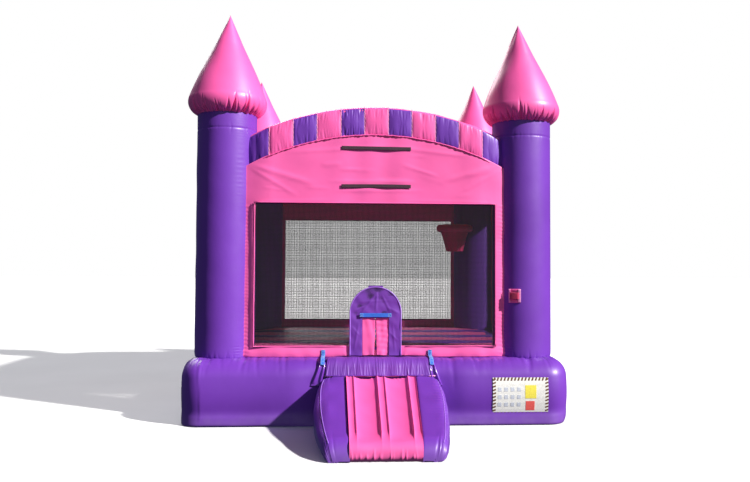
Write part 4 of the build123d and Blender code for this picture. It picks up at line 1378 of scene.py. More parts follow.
# ---- door
@dataclass
class Door:
    """The arched surround, its two flaps and the webbing across their top."""

    face: float = -1.790
    half: float = 0.258
    spring: float = 1.092
    foot: float = 0.644
    gap_half: float = 0.134
    gap_top: float = 1.037
    flap_wide: float = 0.130
    panel_stands: float = 0.012
    webbing_stands: float = 0.0265
    thread_stands: float = 0.0305
    tab_half: float = 0.075
    stitch_box: tuple[float, float] = (0.158, 0.128)

    def surround(self) -> None:
        """The purple panel with the doorway cut out, its creases and its binding."""
        inner = self.gap_half / self.half
        u = np.concatenate([np.linspace(-1, -inner, 20)[:-1], np.linspace(-inner, inner, 34)[:-1],
                            np.linspace(inner, 1, 20)])
        z = np.concatenate([np.linspace(self.foot + 0.012, self.gap_top, 56)[:-1],
                            np.linspace(self.gap_top, self.spring, 9)[:-1],
                            self.spring + self.half * np.sin(np.linspace(0, 0.985 * math.pi / 2, 46))])
        arched = np.sqrt(np.clip(self.half ** 2 - (z - self.spring) ** 2, 0, None))
        width = np.where(z < self.spring, self.half, arched)
        x = u[:, None] * width[None]
        zz = np.repeat(z[None], len(u), 0)
        folds = Folds([(-0.15, 1.09, 0.02, 1.30, 0.006, 0.012), (0.0, 1.10, 0.012, 1.30, 0.005, 0.010),
                       (0.15, 1.09, 0.06, 1.27, 0.005, 0.012), (-0.24, 1.10, -0.10, 1.16, 0.004, 0.012),
                       (0.24, 1.08, 0.12, 1.14, 0.004, 0.012), (-0.22, 0.70, -0.17, 1.0, 0.004, 0.012),
                       (0.20, 0.68, 0.17, 0.98, 0.004, 0.012), (-0.235, 0.95, -0.16, 0.86, 0.003, 0.010),
                       (0.14, 0.90, 0.235, 0.80, 0.003, 0.010), (-0.2, 1.20, 0.16, 1.22, 0.003, 0.014)])
        y = self.face - self.panel_stands - 0.75 * folds(x, zz) - Crumple(0.0045, 0.13, 401)(x, zz)
        keep = np.ones((len(u) - 1, len(z) - 1), bool)
        middle_u, middle_z = (u[:-1] + u[1:]) / 2, (z[:-1] + z[1:]) / 2
        keep[(np.abs(middle_u)[:, None] < inner) & (middle_z[None] < self.gap_top)] = False
        piece = thicken(lattice("door_panel", np.stack([x, y, zz], 2), keep=keep), VINYL)
        dress(piece, PURPLE_SHEET, replaces=["door_surround"])
        rim_z = np.concatenate([np.linspace(self.foot + 0.012, self.spring, 20)[:-1],
                                self.spring + self.half * np.sin(np.linspace(0, math.pi / 2, 22))])
        above = np.clip(rim_z - self.spring, 0, None)
        rim_x = np.sqrt(np.clip(self.half ** 2 - above ** 2, 0, None))
        left = np.stack([-rim_x, np.full(len(rim_x), self.face - self.panel_stands), rim_z], 1)
        right = left[::-1] * np.array([-1, 1, 1])
        binding = tube("door_binding", np.concatenate([left, right[1:]]), SEAM_CORD)
        dress(binding, PALE_PURPLE_VINYL)
        crown = self.spring + self.half
        tab = box_mesh("door_crown_tab", (-self.tab_half, self.face - 0.016, crown - 0.006),
                       (self.tab_half, self.face - 0.006, crown + 0.014), 0.003)
        dress(tab, PURPLE_SHEET)

    def flap(self, sign: int, body: Body) -> None:
        """One pink flap, sewn at its outer edge and a little loose at its free corner.

        Args:
            sign: -1 for the left flap, 1 for the right.
            body: the body it rides on.
        """
        u, v = np.linspace(0, 1, 22), np.linspace(0, 1, 50)
        uu, vv = cells(u, v)
        low, high = node_box(body.value)
        free = 0.004 + 0.010 * (1 - vv) ** 1.5
        width = (self.gap_half - free)
        x = sign * (self.gap_half - width * uu)
        z = low[2] + 0.006 + (high[2] - 0.002 - low[2]) * vv + 0.006 * uu * (1 - vv)
        wave = 0.004 * np.sin(x * 70 + vv * 5) * (1 - vv) * uu
        y = self.face - 0.004 + wave - 0.012 * uu * (1 - vv) ** 2 - Crumple(0.003, 0.09, 410 + sign)(x, z)
        piece = thicken(lattice(f"{body.value}_panel", np.stack([x, y, z], 2), flip=sign < 0), VINYL)
        dress(piece, PINK_SHEET, body, replaces=[body.value])

    def header(self) -> None:
        """The blue webbing across the doorway's top, box stitched at both ends."""
        low, high = node_box("door_header")
        u, v = np.linspace(low[0], high[0], 90), np.linspace(low[2], high[2], 14)
        uu, vv = cells(u, v)
        ribs = 0.0007 * np.abs(np.sin(uu * math.tau / 0.018)) + 0.0005 * np.sin(vv * math.tau / 0.010)
        y = self.face - self.webbing_stands - ribs - 0.003 * np.sin(uu * 19)
        piece = thicken(lattice("door_webbing", np.stack([uu, y, vv], 2)), WEBBING)
        dress(piece, BLUE_WEBBING, replaces=["door_header"])
        stitches = []
        for side in (-1, 1):
            outer, inner = (side * place for place in self.stitch_box)
            bottom, top, thread_y = low[2] + 0.005, high[2] - 0.005, self.face - self.thread_stands
            corner = [(outer, bottom), (inner, bottom), (inner, top), (outer, top)]
            for k, (a, b) in enumerate(zip(corner, corner[1:] + corner[:1])):
                stitches.append(stitch_line(f"box_{side}_{k}", a, b, thread_y))
            stitches.append(stitch_line(f"cross_{side}", corner[0], corner[2], thread_y))
            stitches.append(stitch_line(f"cross_back_{side}", corner[1], corner[3], thread_y))
        dress(joined("door_webbing_stitches", stitches), PALE_THREAD)

    def build(self) -> None:
        """Make every piece of the door."""
        self.surround()
        self.flap(-1, Body.FLAP_LEFT)
        self.flap(1, Body.FLAP_RIGHT)
        self.header()


def stitch_line(name: str, start: tuple[float, float], end: tuple[float, float], y: float,
                pitch: float = 0.007) -> Piece:
    """A row of thread stitches between two points of an upright plane.

    Args:
        name: the row's name.
        start: first place, across and up.
        end: last place.
        y: where the plane stands.
        pitch: length of a stitch.

    Returns:
        The row as one object.
    """
    length = math.hypot(end[0] - start[0], end[1] - start[1])
    count = max(2, int(length / pitch))
    pieces = []
    for k in range(count):
        t0, t1 = (k + 0.12) / count, (k + 0.88) / count
        t = np.array([t0, (t0 + t1) / 2, t1])
        x, z = start[0] + (end[0] - start[0]) * t, start[1] + (end[1] - start[1]) * t
        pieces.append(tube(f"{name}_{k}", np.stack([x, np.array([y, y - 0.0008, y]), z], 1), 0.0013, 5))
    return joined(name, pieces)


# ---- ramp
@dataclass
class Ramp:
    """The entrance ramp: two purple bolsters beside pink climbing channels."""

    back: float = -2.035
    toe: float = -3.410
    top: float = 0.486
    toe_height: float = 0.140
    middle: float = 0.045
    taper: float = 0.88
    channel_widths: tuple[float, ...] = (0.070, 0.230, 0.072, 0.230, 0.076)
    wide_crest: float = 0.038
    narrow_crest: float = 0.016
    welt_depth: float = 0.032
    weld_cord: float = 0.0042
    bolster_sides: tuple[float, float] = (-0.540, 0.620)
    bolster_bulges: tuple[float, float] = (0.070, 0.052)
    bolster_lap: float = 0.004
    back_round: float = 0.075
    toe_round: float = 0.13
    pink_left: float = field(init=False)
    pink_right: float = field(init=False)

    def __post_init__(self) -> None:
        """Take the channels' place at the ramp's back from the frame."""
        low, high = node_box("ramp_channels")
        self.pink_left, self.pink_right = float(low[0]), float(high[0])

    def narrowing(self, y: Points) -> Points:
        """The ramp's width at y as a share of its width at the back."""
        return 1 - (1 - self.taper) * unit((self.back - y) / (self.back - self.toe))

    def profile(self) -> Points:
        """The side outline, from the back's foot up, down the slope, round the toe and under.

        Returns:
            The outline's points, as y and z.
        """
        corners = [(self.back, 0.002), (self.back, self.top), (self.toe, self.toe_height), (self.toe, 0.002)]
        radii = (0.03, 0.055, 0.085, 0.05)
        line: list[Points] = []
        for k, (corner, radius) in enumerate(zip(corners, radii)):
            before = np.array(corners[k - 1]) - corner
            after = np.array(corners[(k + 1) % 4]) - corner
            before /= np.linalg.norm(before)
            after /= np.linalg.norm(after)
            half_angle = math.acos(float(np.dot(before, after))) / 2
            cut = radius / math.tan(half_angle)
            inward = (before + after) / np.linalg.norm(before + after)
            centre = np.array(corner) + inward * radius / math.sin(half_angle)
            start, end = np.array(corner) + before * cut, np.array(corner) + after * cut
            a0, a1 = (math.degrees(math.atan2(*(p - centre)[::-1])) for p in (start, end))
            a1 += 360 * round((a0 - a1) / 360)
            line.append(arc(tuple(centre), radius, a0, a1, 10))
        points = np.concatenate(line + [line[0][:1]])
        run = along(points)
        even = np.linspace(0, run[-1], 260, endpoint=False)
        return np.stack([np.interp(even, run, points[:, 0]), np.interp(even, run, points[:, 1])], 1)

    def channels(self) -> None:
        """The pink channels: wide and narrow lobes with deep welts between them."""
        profile = self.profile()
        loop = np.concatenate([profile[-1:], profile, profile[:1]])
        normal = outward(loop)[1:-1]
        run = along(profile)
        toe_run = run[np.argmin(np.abs(profile[:, 0] - self.toe) + np.abs(profile[:, 1] - 0.05))]
        left = self.pink_left
        xs, crest = [], []
        for index, width in enumerate(self.channel_widths):
            wide = width > 0.1
            w = np.linspace(0, 1, 35 if wide else 19)
            w = w[:-1] if index < len(self.channel_widths) - 1 else w
            round_top = np.sqrt(unit(1 - (2 * w - 1) ** 2)) ** (0.9 if wide else 1.1)
            xs.append(left + width * w)
            crest.append((self.wide_crest if wide else self.narrow_crest) * round_top)
            left += width
        x, raise_by = np.concatenate(xs), np.concatenate(crest) - self.welt_depth
        share = unit((self.back - profile[:, 0]) / (self.back - self.toe))
        fade = np.clip(np.minimum(share / 0.04, (0.97 - share) / 0.10), 0.12, 1)
        on_top = np.clip((profile[:, 1] - 0.10) / 0.05, 0.25, 1) * fade
        across = (x[:, None] - x[0]) * np.ones(len(run))[None]
        pull_toe = Puckers(x[-1] - x[0], 13, 0.010, 0.009, 0.08, 501)(across, np.abs(run[None] - toe_run))
        pull_top = Puckers(x[-1] - x[0], 17, 0.010, 0.008, 0.12, 502)(across, np.abs(run[None] - self.top))
        soft = Crumple(0.0022, 0.30, 503)(x[:, None], run[None])
        under = unit(profile[:, 1] / 0.03)[None]
        shift = (raise_by[:, None] * on_top[None] + soft - pull_toe - pull_top) * under
        y = profile[None, :, 0] + shift * normal[None, :, 0]
        z = np.clip(profile[None, :, 1] + shift * normal[None, :, 1], 0.001, None)
        xx = self.middle + (x[:, None] - self.middle) * self.narrowing(profile[:, 0])[None]
        piece = lattice("ramp_climbing_channels", np.stack([xx, y, z], 2), close_columns=True, flip=True)
        dress(piece, PINK_VINYL, Body.RAMP, replaces=["ramp_channels"])

    def bolster(self, name: str, inner: float, outer: float, bulge: float, seed: int) -> None:
        """One side bolster, a rounded cushion that tapers to the toe.

        Args:
            name: left or right.
            inner: x of its inner side at the back.
            outer: x of its outer side at the back.
            bulge: how far the outer side swells beyond that line.
            seed: number that fixes its folds.
        """
        sign = 1 if outer > inner else -1
        end_r, toe_r = self.back_round, self.toe_round
        ys = np.concatenate([self.back - end_r * (1 - np.cos(np.linspace(0, math.pi / 2, 18)))[:-1],
                             np.linspace(self.back - end_r, self.toe + toe_r, 90)[:-1],
                             self.toe + toe_r * (1 - np.sin(np.linspace(0, math.pi / 2, 26)))])
        slope = (self.top - self.toe_height) / (self.back - self.toe)
        phi = circle(120)
        yy, pp = cells(ys, phi)
        from_back, from_toe = self.back - yy, yy - self.toe
        end_back = np.sqrt(unit(1 - (1 - unit(from_back / end_r)) ** 2)) ** 0.55
        end_toe = np.sqrt(unit(1 - (1 - unit(from_toe / toe_r)) ** 2)) ** 0.75
        upper = (self.toe_height + slope * (yy - self.toe)) * end_toe * (0.93 + 0.07 * end_back) + 0.012
        lower = 0.002 + 0.03 * (1 - end_back)
        c, s = np.cos(pp), np.sin(pp)
        inside = sign * c < 0
        rise = np.sign(s) * np.abs(s) ** np.where(inside, 2 / 12.0, 2 / 3.4)
        level = (upper + lower) / 2 + (upper - lower) / 2 * rise
        narrow = self.narrowing(yy)
        inner_x = self.middle + (inner - self.middle) * narrow
        outer_x = self.middle + (outer - self.middle) * narrow
        outer_x = outer_x + sign * bulge * np.sin(math.pi * unit(from_back / 1.30) ** 0.8) ** 0.8
        outer_x = outer_x - sign * 0.05 * (1 - end_toe) - sign * 0.03 * (1 - end_back)
        centre, half = (inner_x + outer_x) / 2, np.abs(outer_x - inner_x) / 2
        x = centre + np.sign(c) * np.abs(c) ** np.where(inside, 2 / 12.0, 2 / 2.7) * half
        around = pp / (math.tau) * 1.3
        pull = Puckers(1.3, 24, 0.026, 0.011, 0.24, seed, closed=True)(around, from_toe)
        pull += Puckers(1.3, 26, 0.015, 0.009, 0.26, seed + 1, closed=True)(around, from_back)
        soft = Crumple(0.006, 0.35, seed + 2)(around, yy)
        creep = 0.0058 * np.sin(yy * math.tau / 0.060 + 3 * np.sin(yy * 7) + 2.5 * pp)
        creep = creep * np.exp(-((pp - math.pi / 4) / 0.5) ** 2 - ((from_back - 0.45) / 0.42) ** 2)
        grip = (soft - pull + creep * (sign > 0)) * ~inside
        x = x + sign * np.abs(c) * grip
        level = np.clip(level + s * grip, 0.001, None)
        piece = lattice(f"ramp_{name}_cushion", np.stack([x, yy, level], 2), close_columns=True)
        dress(piece, PURPLE_VINYL, Body.RAMP, replaces=[f"ramp_{name}_bolster"])
        column = int(np.argmin(np.abs(phi - (math.radians(55) if sign > 0 else math.radians(119)))))
        line = np.stack([x[14:-16, column] + sign * 0.001, yy[14:-16, column], level[14:-16, column]], 1)
        binding = tube(f"ramp_{name}_weld", line, self.weld_cord)
        dress(binding, PALE_PURPLE_VINYL, Body.RAMP)

    def build(self) -> None:
        """Make every piece of the ramp."""
        self.channels()
        inner = (self.pink_left + self.bolster_lap, self.pink_right - self.bolster_lap)
        for name, near, far, bulge, seed in zip(("left", "right"), inner, self.bolster_sides,
                                                self.bolster_bulges, (511, 521)):
            self.bolster(name, near, far, bulge, seed)
        x = np.linspace(-0.50, 0.585, 60)
        seam = np.stack([x, np.full(60, self.back + 0.004), self.top + 0.001 + 0.002 * np.sin(x * 31)], 1)
        dress(tube("ramp_top_seam", seam, SEAM_CORD), PALE_PINK_SEAM_AND_PAINTED_HIGHLIGHT, Body.RAMP)


# ---- ramp attachments
@dataclass
class RampAttachment:
    """What joins the ramp to the base: the gathered apron, the webbing tabs and the tongues."""

    edge_y: float = -1.888
    edge_z: float = 0.520
    radius: float = 0.124
    hem_cord: float = 0.0045
    thread: float = 0.0015
    tab_width: float = 0.041
    tab_inset: float = 0.0275
    tongue_ends: tuple[float, float] = (-0.592, 0.606)

    def over_edge(self, start: float, stop_angle: float, drop: float, lift: float, count: int = 26) -> Points:
        """Line over the base's shoulder, as y and z, standing lift clear of it.

        Args:
            start: y where the line starts.
            stop_angle: where it leaves the round, in degrees.
            drop: length of its straight tail.
            lift: distance clear of the skin.
            count: points on the round.

        Returns:
            The line's points.
        """
        radius = self.radius + lift
        flat = np.stack([np.linspace(start, self.edge_y, 6)[:-1], np.full(5, self.edge_z + radius)], 1)
        turn = np.radians(np.linspace(90, stop_angle, count))
        bend = np.stack([self.edge_y - radius * np.cos(turn), self.edge_z + radius * np.sin(turn)], 1)
        tail = bend[-1] + np.outer(np.linspace(0, drop, 10)[1:], [-math.sin(turn[-1]), -math.cos(turn[-1])])
        return np.concatenate([flat, bend, tail])

    def apron(self) -> None:
        """The gathered band between the doorway and the ramp."""
        low, high = node_box("ramp_apron")
        line = self.over_edge(-1.800, 20, 0.078, 0.006)
        run = along(line)
        x = np.linspace(low[0], high[0], 240)
        normal = outward(line)
        gather = Puckers(high[0] - low[0], 64, 0.006, 0.006, 0.42, 601)
        gather = gather(x[:, None] - low[0], (run[-1] - run)[None])
        soft = Crumple(0.004, 0.12, 602)(x[:, None], run[None] * 0.3)
        shift = gather - soft - 0.004
        y = line[None, :, 0] + shift * normal[None, :, 0] * -1
        z = line[None, :, 1] + shift * normal[None, :, 1] * -1
        xx = np.repeat(x[:, None], len(run), 1) * (1 + 0.05 * run[None] / run[-1])
        piece = thicken(lattice("ramp_apron_sheet", np.stack([xx, y, z], 2)), VINYL)
        dress(piece, PURPLE_SHEET, body=None, replaces=["ramp_apron"])
        self.bend_with_ramp(piece)
        self.apron_hem(xx[:, -1], y[:, -1], z[:, -1])

    def apron_hem(self, x: Points, y: Points, z: Points) -> None:
        """The welded hem along the apron's lower edge.

        Args:
            x: places along the edge.
            y: their depths.
            z: their heights.
        """
        smooth = np.convolve(np.pad(y, 6, mode="edge"), np.ones(13) / 13, mode="valid")
        line = np.stack([x, smooth - 0.003, z], 1)[::3]
        hem = dress(tube("ramp_apron_hem", line, self.hem_cord), PURPLE_VINYL, body=None)
        self.bend_with_ramp(hem)

    def bend_with_ramp(self, piece: Piece) -> None:
        """Bake a sheet's placement into its mesh; it rides on no body."""
        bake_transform(piece)

    def tabs(self) -> None:
        """Blue webbing tabs from the wall sheet over the base's shoulder, with their stitching."""
        low, high = node_box("ramp_tabs")
        width = self.tab_width
        webs, threads = [], []
        for index, centre in enumerate((low[0] + self.tab_inset, high[0] - self.tab_inset)):
            foot = self.edge_z + self.radius + 0.012
            wall = np.stack([np.full(8, -1.799), np.linspace(high[2], foot, 8)], 1)
            line = np.concatenate([wall, self.over_edge(-1.802, 33, 0.004, 0.012)[1:]])
            run = along(line)
            v = np.linspace(-0.5, 0.5, 12)
            ribs = 0.0006 * np.abs(np.sin(run * math.tau / 0.013))
            y = line[:, 0] - ribs
            x = centre + v[:, None] * width + 0 * run[None]
            rows = [np.repeat(values[None], 12, 0) for values in (y, line[:, 1])]
            webs.append(lattice(f"tab_{index}", np.stack([x, *rows], 2)))
            for row, (first, last) in enumerate(((0.004, 0.066), (0.13, run[-1] - 0.006))):
                for side in (-0.36, 0.36):
                    at = np.linspace(first, last, 12)
                    py = np.interp(at, run, line[:, 0]) - 0.003
                    pz = np.interp(at, run, line[:, 1]) + 0.001
                    path = np.stack([np.full(12, centre + side * width), py, pz], 1)
                    threads.append(tube(f"thread_{index}_{row}_{side}", path, self.thread, 5))
                for k in range(5):
                    at = first + (last - first) * k / 4
                    py, pz = np.interp(at, run, line[:, 0]) - 0.003, np.interp(at, run, line[:, 1]) + 0.001
                    bar = np.array([[centre + side * width, py, pz] for side in (-0.36, 0.0, 0.36)])
                    threads.append(tube(f"bar_{index}_{row}_{k}", bar, self.thread, 5))
        webbing = thicken(joined("ramp_tab_webbing", webs), WEBBING)
        dress(webbing, BLUE_WEBBING, replaces=["ramp_tabs"])
        dress(joined("ramp_tab_stitches", threads), PALE_THREAD)

    def tongues(self) -> None:
        """The folded vinyl tongues from each tab down to the ramp's upper corners."""
        tab_low, tab_high = node_box("ramp_tabs")
        starts = (tab_low[0] + self.tab_inset, tab_high[0] - self.tab_inset)
        folds = []
        for index, (start, finish) in enumerate(zip(starts, self.tongue_ends)):
            t = np.linspace(0, 1, 34)
            w = np.linspace(-1, 1, 25)
            tt, ww = cells(t, w)
            half = 0.032 + 0.024 * tt
            x = start + (finish - start) * tt ** 1.3 + ww * half
            z = 0.612 - 0.222 * tt
            ends_off = np.sin(math.pi * unit(tt * 1.1)) ** 0.6
            ridge = 0.024 * bell((np.abs(ww) - 0.62) / 0.27) * ends_off
            y = -1.975 - 0.048 * np.sin(math.pi * tt / 2) - ridge - 0.004
            edge = unit((np.abs(ww) - 0.9) / 0.1)
            y = y + 0.018 * edge
            folds.append(lattice(f"tongue_{index}", np.stack([x, y, z], 2), flip=True))
        merged = joined("ramp_tongue_folds", folds)
        piece = thicken(merged, VINYL)
        dress(piece, GLOSSY_PURPLE, body=None, replaces=["ramp_tongues"])
        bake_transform(piece)

    def build(self) -> None:
        """Make every piece between base and ramp."""
        self.apron()
        self.tabs()
        self.tongues()


# ---- fittings
@dataclass
class Fittings:
    """Hook strips, placard, hoop, tether, tube, zip and anchors."""

    face: float = -1.790
    strip_width: float = 0.036
    hoop_radius: float = 0.200
    hoop_thickness: float = 0.054
    arm_radius: float = 0.048
    funnel_radii: tuple[float, float] = (0.194, 0.113)
    column_centre: tuple[float, float] = (1.55, 1.55)
    tether_turn: float = 270 - 25.2
    patch_radius: float = 0.3095
    strap_radius: float = 0.311
    bar_radius: float = 0.3130
    strap_vinyl: float = 0.0025
    border: float = 0.054
    mark: tuple[float, float] = (0.065, 0.105)

    def hook_strips(self) -> None:
        """Two strips of hook tape on the front, for a banner."""
        low, high = node_box("hook_strips")
        pieces = []
        for index, z in enumerate((low[2], high[2] - 0.05)):
            u, v = np.linspace(low[0], high[0], 80), np.linspace(0, 1, 9)
            uu, vv = cells(u, v)
            droop = 0.003 * np.sin((uu + 0.36) * 4.2 + index * 2)
            y = self.face - 0.0085 - 0.003 * np.sin(uu * 11 + index)
            zz = z + 0.008 + self.strip_width * vv + droop
            pieces.append(lattice(f"strip_{index}", np.stack([uu, y, zz], 2)))
        piece = thicken(joined("banner_hook_strips", pieces), 0.003)
        dress(piece, HOOK_TAPE, replaces=["hook_strips"])

    def placard(self) -> None:
        """A blank notice panel: hazard border and plain colour blocks, with no lettering."""
        low, high = node_box("placard")
        width, height = high[0] - low[0], high[2] - low[2]
        y = low[1] - 0.004

        def spot(a: float, b: float) -> tuple[float, float]:
            """The place at shares a and b of the panel's width and height."""
            return low[0] + width * a, low[2] + height * b

        backing = bowed(box_mesh("placard_panel", (low[0], y, low[2]), (high[0], y + 0.003, high[2])))
        dress(backing, PLACARD_CREAM, replaces=["placard"])
        stripes, band = [], self.border
        for k in range(16):
            a0, a1, skew = k / 16 + 0.005, k / 16 + 0.034, 0.018
            for low_b, high_b in ((0, band * 1.5), (1 - band * 1.5, 1)):
                quad = [(a0, low_b), (a1, low_b), (min(a1 + skew, 1), high_b), (a0 + skew, high_b)]
                stripes.append(flat_panel(f"hazard_level_{k}_{low_b}", [spot(*p) for p in quad], y))
        for k in range(11):
            b0, b1, skew = k / 11 + 0.008, k / 11 + 0.050, 0.026
            for left_a, right_a in ((0, band), (1 - band, 1)):
                quad = [(left_a, b0), (right_a, b0 + skew), (right_a, min(b1 + skew, 1)), (left_a, b1)]
                stripes.append(flat_panel(f"hazard_upright_{k}_{left_a}", [spot(*p) for p in quad], y))
        dress(bowed(joined("placard_hazard_border", stripes)), PLACARD_DARK)
        for name, finish, a0, b0, a1, b1 in (("yellow", PLACARD_YELLOW, 0.58, 0.45, 0.78, 0.80),
                                             ("red", PLACARD_RED, 0.59, 0.13, 0.75, 0.38)):
            quad = [spot(a0, b0), spot(a1, b0), spot(a1, b1), spot(a0, b1)]
            dress(bowed(flat_panel(f"placard_{name}_block", quad, y)), finish)
        bars = []
        for row in range(3):
            for column in range(4):
                a0, b0 = 0.09 + 0.115 * column, 0.24 + 0.20 * row
                a1, b1 = a0 + self.mark[0], b0 + self.mark[1]
                quad = [spot(a0, b0), spot(a1, b0), spot(a1, b1), spot(a0, b1)]
                bars.append(flat_panel(f"bar_{row}_{column}", quad, y))
        dress(bowed(joined("placard_plain_marks", bars)), PLACARD_GREY)

    def hoop(self) -> None:
        """The inflated ball hoop in the back corner and the vinyl funnel under it."""
        low, high = node_box("hoop_ring")
        net_low, net_high = node_box("hoop_net")
        centre = (net_low + net_high) / 2
        ring_z = (low[2] + high[2]) / 2
        turn = circle(150)
        roll = circle(36)
        tt, rr = cells(turn, roll)
        gather = Puckers(math.tau * self.hoop_radius, 40, 0.010, 0.007, 0.10, 701, closed=True)
        r = self.hoop_thickness - gather(tt * self.hoop_radius, np.abs(np.cos(rr / 2)) * 0.12)
        ring = turned(centre, self.hoop_radius + r * np.cos(rr), tt, ring_z + r * np.sin(rr))
        torus = lattice("ring_torus", ring, close_rows=True, close_columns=True)
        toward = np.array(self.column_centre) - centre[:2]
        toward /= np.linalg.norm(toward)
        arm_line = np.array([[*(centre[:2] + toward * d), ring_z] for d in np.linspace(0.21, 0.30, 8)])
        arm = tube("ring_arm", arm_line, self.arm_radius, 28)
        piece = joined("ball_hoop_ring", [torus, arm])
        dress(piece, DEEP_PINK_VINYL, replaces=["hoop_ring"])
        v = np.linspace(0, 1, 24)
        tt, vv = cells(turn, v)
        wide, narrow = self.funnel_radii
        radius = (wide + (narrow - wide) * vv ** 0.85) + 0.004 * np.sin(tt * 12) * vv
        net = turned(centre, radius, tt, net_high[2] + 0.004 - (net_high[2] - net_low[2]) * vv)
        funnel = thicken(lattice("ball_hoop_funnel", net, close_rows=True, flip=True), VINYL)
        dress(funnel, DEEP_PINK_VINYL, replaces=["hoop_net"])

    def tether(self) -> None:
        """The stitched patch and strap loop on the front right column."""
        low, high = node_box("tether_patch")
        loop_low, loop_high = node_box("tether_loop")
        centre = (self.column_centre[0], -self.column_centre[1])
        middle = math.radians(self.tether_turn)
        angles = middle + np.radians(np.linspace(-11.3, 11.3, 30))
        z = np.linspace(low[2], high[2], 26)
        aa, zz = cells(angles, z)
        r = self.patch_radius + 0.0012 * np.sin((zz - low[2]) * 160)
        patch = thicken(lattice("tether_patch_vinyl", turned(centre, r, aa, zz)), VINYL)
        dress(patch, PINK_VINYL, replaces=["tether_patch"])
        turn = np.linspace(-9, 9, 34)
        stand = self.strap_radius + 0.018 * unit((9 - np.abs(turn)) / 2.6) ** 0.6
        a = middle + np.radians(turn)
        height = np.linspace(loop_low[2], loop_high[2], 10)
        strap = turned(centre, stand[:, None], a[:, None], height[None])
        # the strap loop's dark red colour is painted shade, standing for the shadow in the loop's middle
        loop = thicken(lattice("tether_strap_loop", strap, flip=True), self.strap_vinyl)
        dress(loop, SHADE_DARKENED_PINK_WEBBING, replaces=["tether_loop"])
        bars = []
        for side, half in ((-1, 1.5), (1, 2.4)):
            a = middle + np.radians(side * 9.6 + np.linspace(-half, half, 8))
            height = np.linspace(low[2] + 0.002, high[2] - 0.002, 12)
            bar = turned(centre, self.bar_radius, a[:, None], height[None])
            bars.append(lattice(f"weld_bar_{side}", bar, flip=True))
        # the weld bars' pale pink is a painted highlight for the sunlit, raised ends of the strap
        dress(thicken(joined("tether_weld_bars", bars), 0.0035), PALE_PINK_SEAM_AND_PAINTED_HIGHLIGHT)

    def inflation_tube(self) -> None:
        """The blower sleeve at the back, drawn in by its tie strap."""
        low, high = node_box("inflation_tube")
        strap_low, strap_high = node_box("tube_tie_strap")
        centre, radius = (low + high) / 2, (high[0] - low[0]) / 2
        y = np.concatenate([np.linspace(low[1] - 0.02, strap_low[1] - 0.05, 60),
                            np.linspace(strap_low[1] - 0.048, high[1], 40)])
        turn = circle(150)
        yy, tt = cells(y, turn)
        strap_y = (strap_low[1] + strap_high[1]) / 2
        ring = math.tau * radius
        arc_run = tt * radius
        cinch = Puckers(ring, 36, 0.008, 0.008, 0.22, 801, closed=True)(arc_run, np.abs(yy - strap_y))
        at_root = Puckers(ring, 40, 0.010, 0.009, 0.16, 802, closed=True)
        root = at_root(arc_run, np.clip(yy - low[1], 0, None))
        r = radius - 0.001 - cinch - root + Crumple(0.003, 0.25, 803)(arc_run, yy) * np.sin(tt / 2) ** 2
        r -= 0.004 * bell((yy - strap_y) / 0.03)
        zz = np.clip(centre[2] + r * np.sin(tt), 0.001, None)
        points = np.stack([centre[0] + r * np.cos(tt), yy, zz], 2)
        sleeve = thicken(lattice("blower_sleeve", points, close_columns=True), VINYL)
        dress(sleeve, PURPLE_VINYL, replaces=["inflation_tube"])
        v = np.linspace(strap_low[1], strap_high[1], 10)
        vv, tt = cells(v, turn)
        r = (strap_high[0] - strap_low[0]) / 2 - 0.001 + 0.0005 * np.sin(tt * 140)
        band = np.stack([centre[0] + r * np.cos(tt), vv, centre[2] + r * np.sin(tt)], 2)
        strap = thicken(lattice("sleeve_tie_strap", band, close_columns=True), VINYL)
        dress(strap, BLACK_WEBBING, replaces=["tube_tie_strap"])

    def carried_over(self) -> None:
        """Give the CAD pieces that stay their finishes."""
        finishes = {
            "tie_strap_buckle": BLACK_PLASTIC, "zip_slider": BLACK_PLASTIC, "zip_surround": PURPLE_VINYL,
            "zip_flap": PURPLE_VINYL, "anchor_patches": PURPLE_VINYL, "anchor_loops": BLACK_WEBBING,
        }
        for name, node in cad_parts.items():
            finish = PLATED_STEEL if name.startswith("anchor_ring") else finishes.get(name)
            if finish is not None:
                node.data.materials.clear()
                node.data.materials.append(material(finish))

    def build(self) -> None:
        """Make every fitting."""
        self.hook_strips()
        self.placard()
        self.hoop()
        self.tether()
        self.inflation_tube()
        self.carried_over()


def flat_panel(name: str, corners: Sequence[tuple[float, float]], y: float) -> Piece:
    """A thin plate with four corners on an upright plane facing the entrance side.

    Args:
        name: the plate's name.
        corners: four places, across and up.
        y: where the plane stands.

    Returns:
        The plate as an object.
    """
    front = [[x, y - 0.0012, z] for x, z in corners]
    back = [[x, y + 0.001, z] for x, z in corners]
    faces = [[0, 1, 2, 3], [7, 6, 5, 4]] + [[k, 4 + k, 4 + (k + 1) % 4, (k + 1) % 4] for k in range(4)]
    return solid(name, np.array(front + back), faces, smooth=False)


def bowed(piece: Piece) -> Piece:
    """Cut a flat panel finely and bow it out as the base's entrance side swells behind it.

    Args:
        piece: the flat panel.

    Returns:
        The same object.
    """
    mesh = bmesh.new()
    mesh.from_mesh(piece.data)
    bmesh.ops.subdivide_edges(mesh, edges=mesh.edges[:], cuts=5, use_grid_fill=True)
    places = np.array([v.co[:] for v in mesh.verts])
    for vertex, out in zip(mesh.verts, Base().swell(places[:, 0], places[:, 2])):
        vertex.co.y -= out
    mesh.to_mesh(piece.data)
    mesh.free()
    for face in piece.data.polygons:
        face.use_smooth = False
    return piece


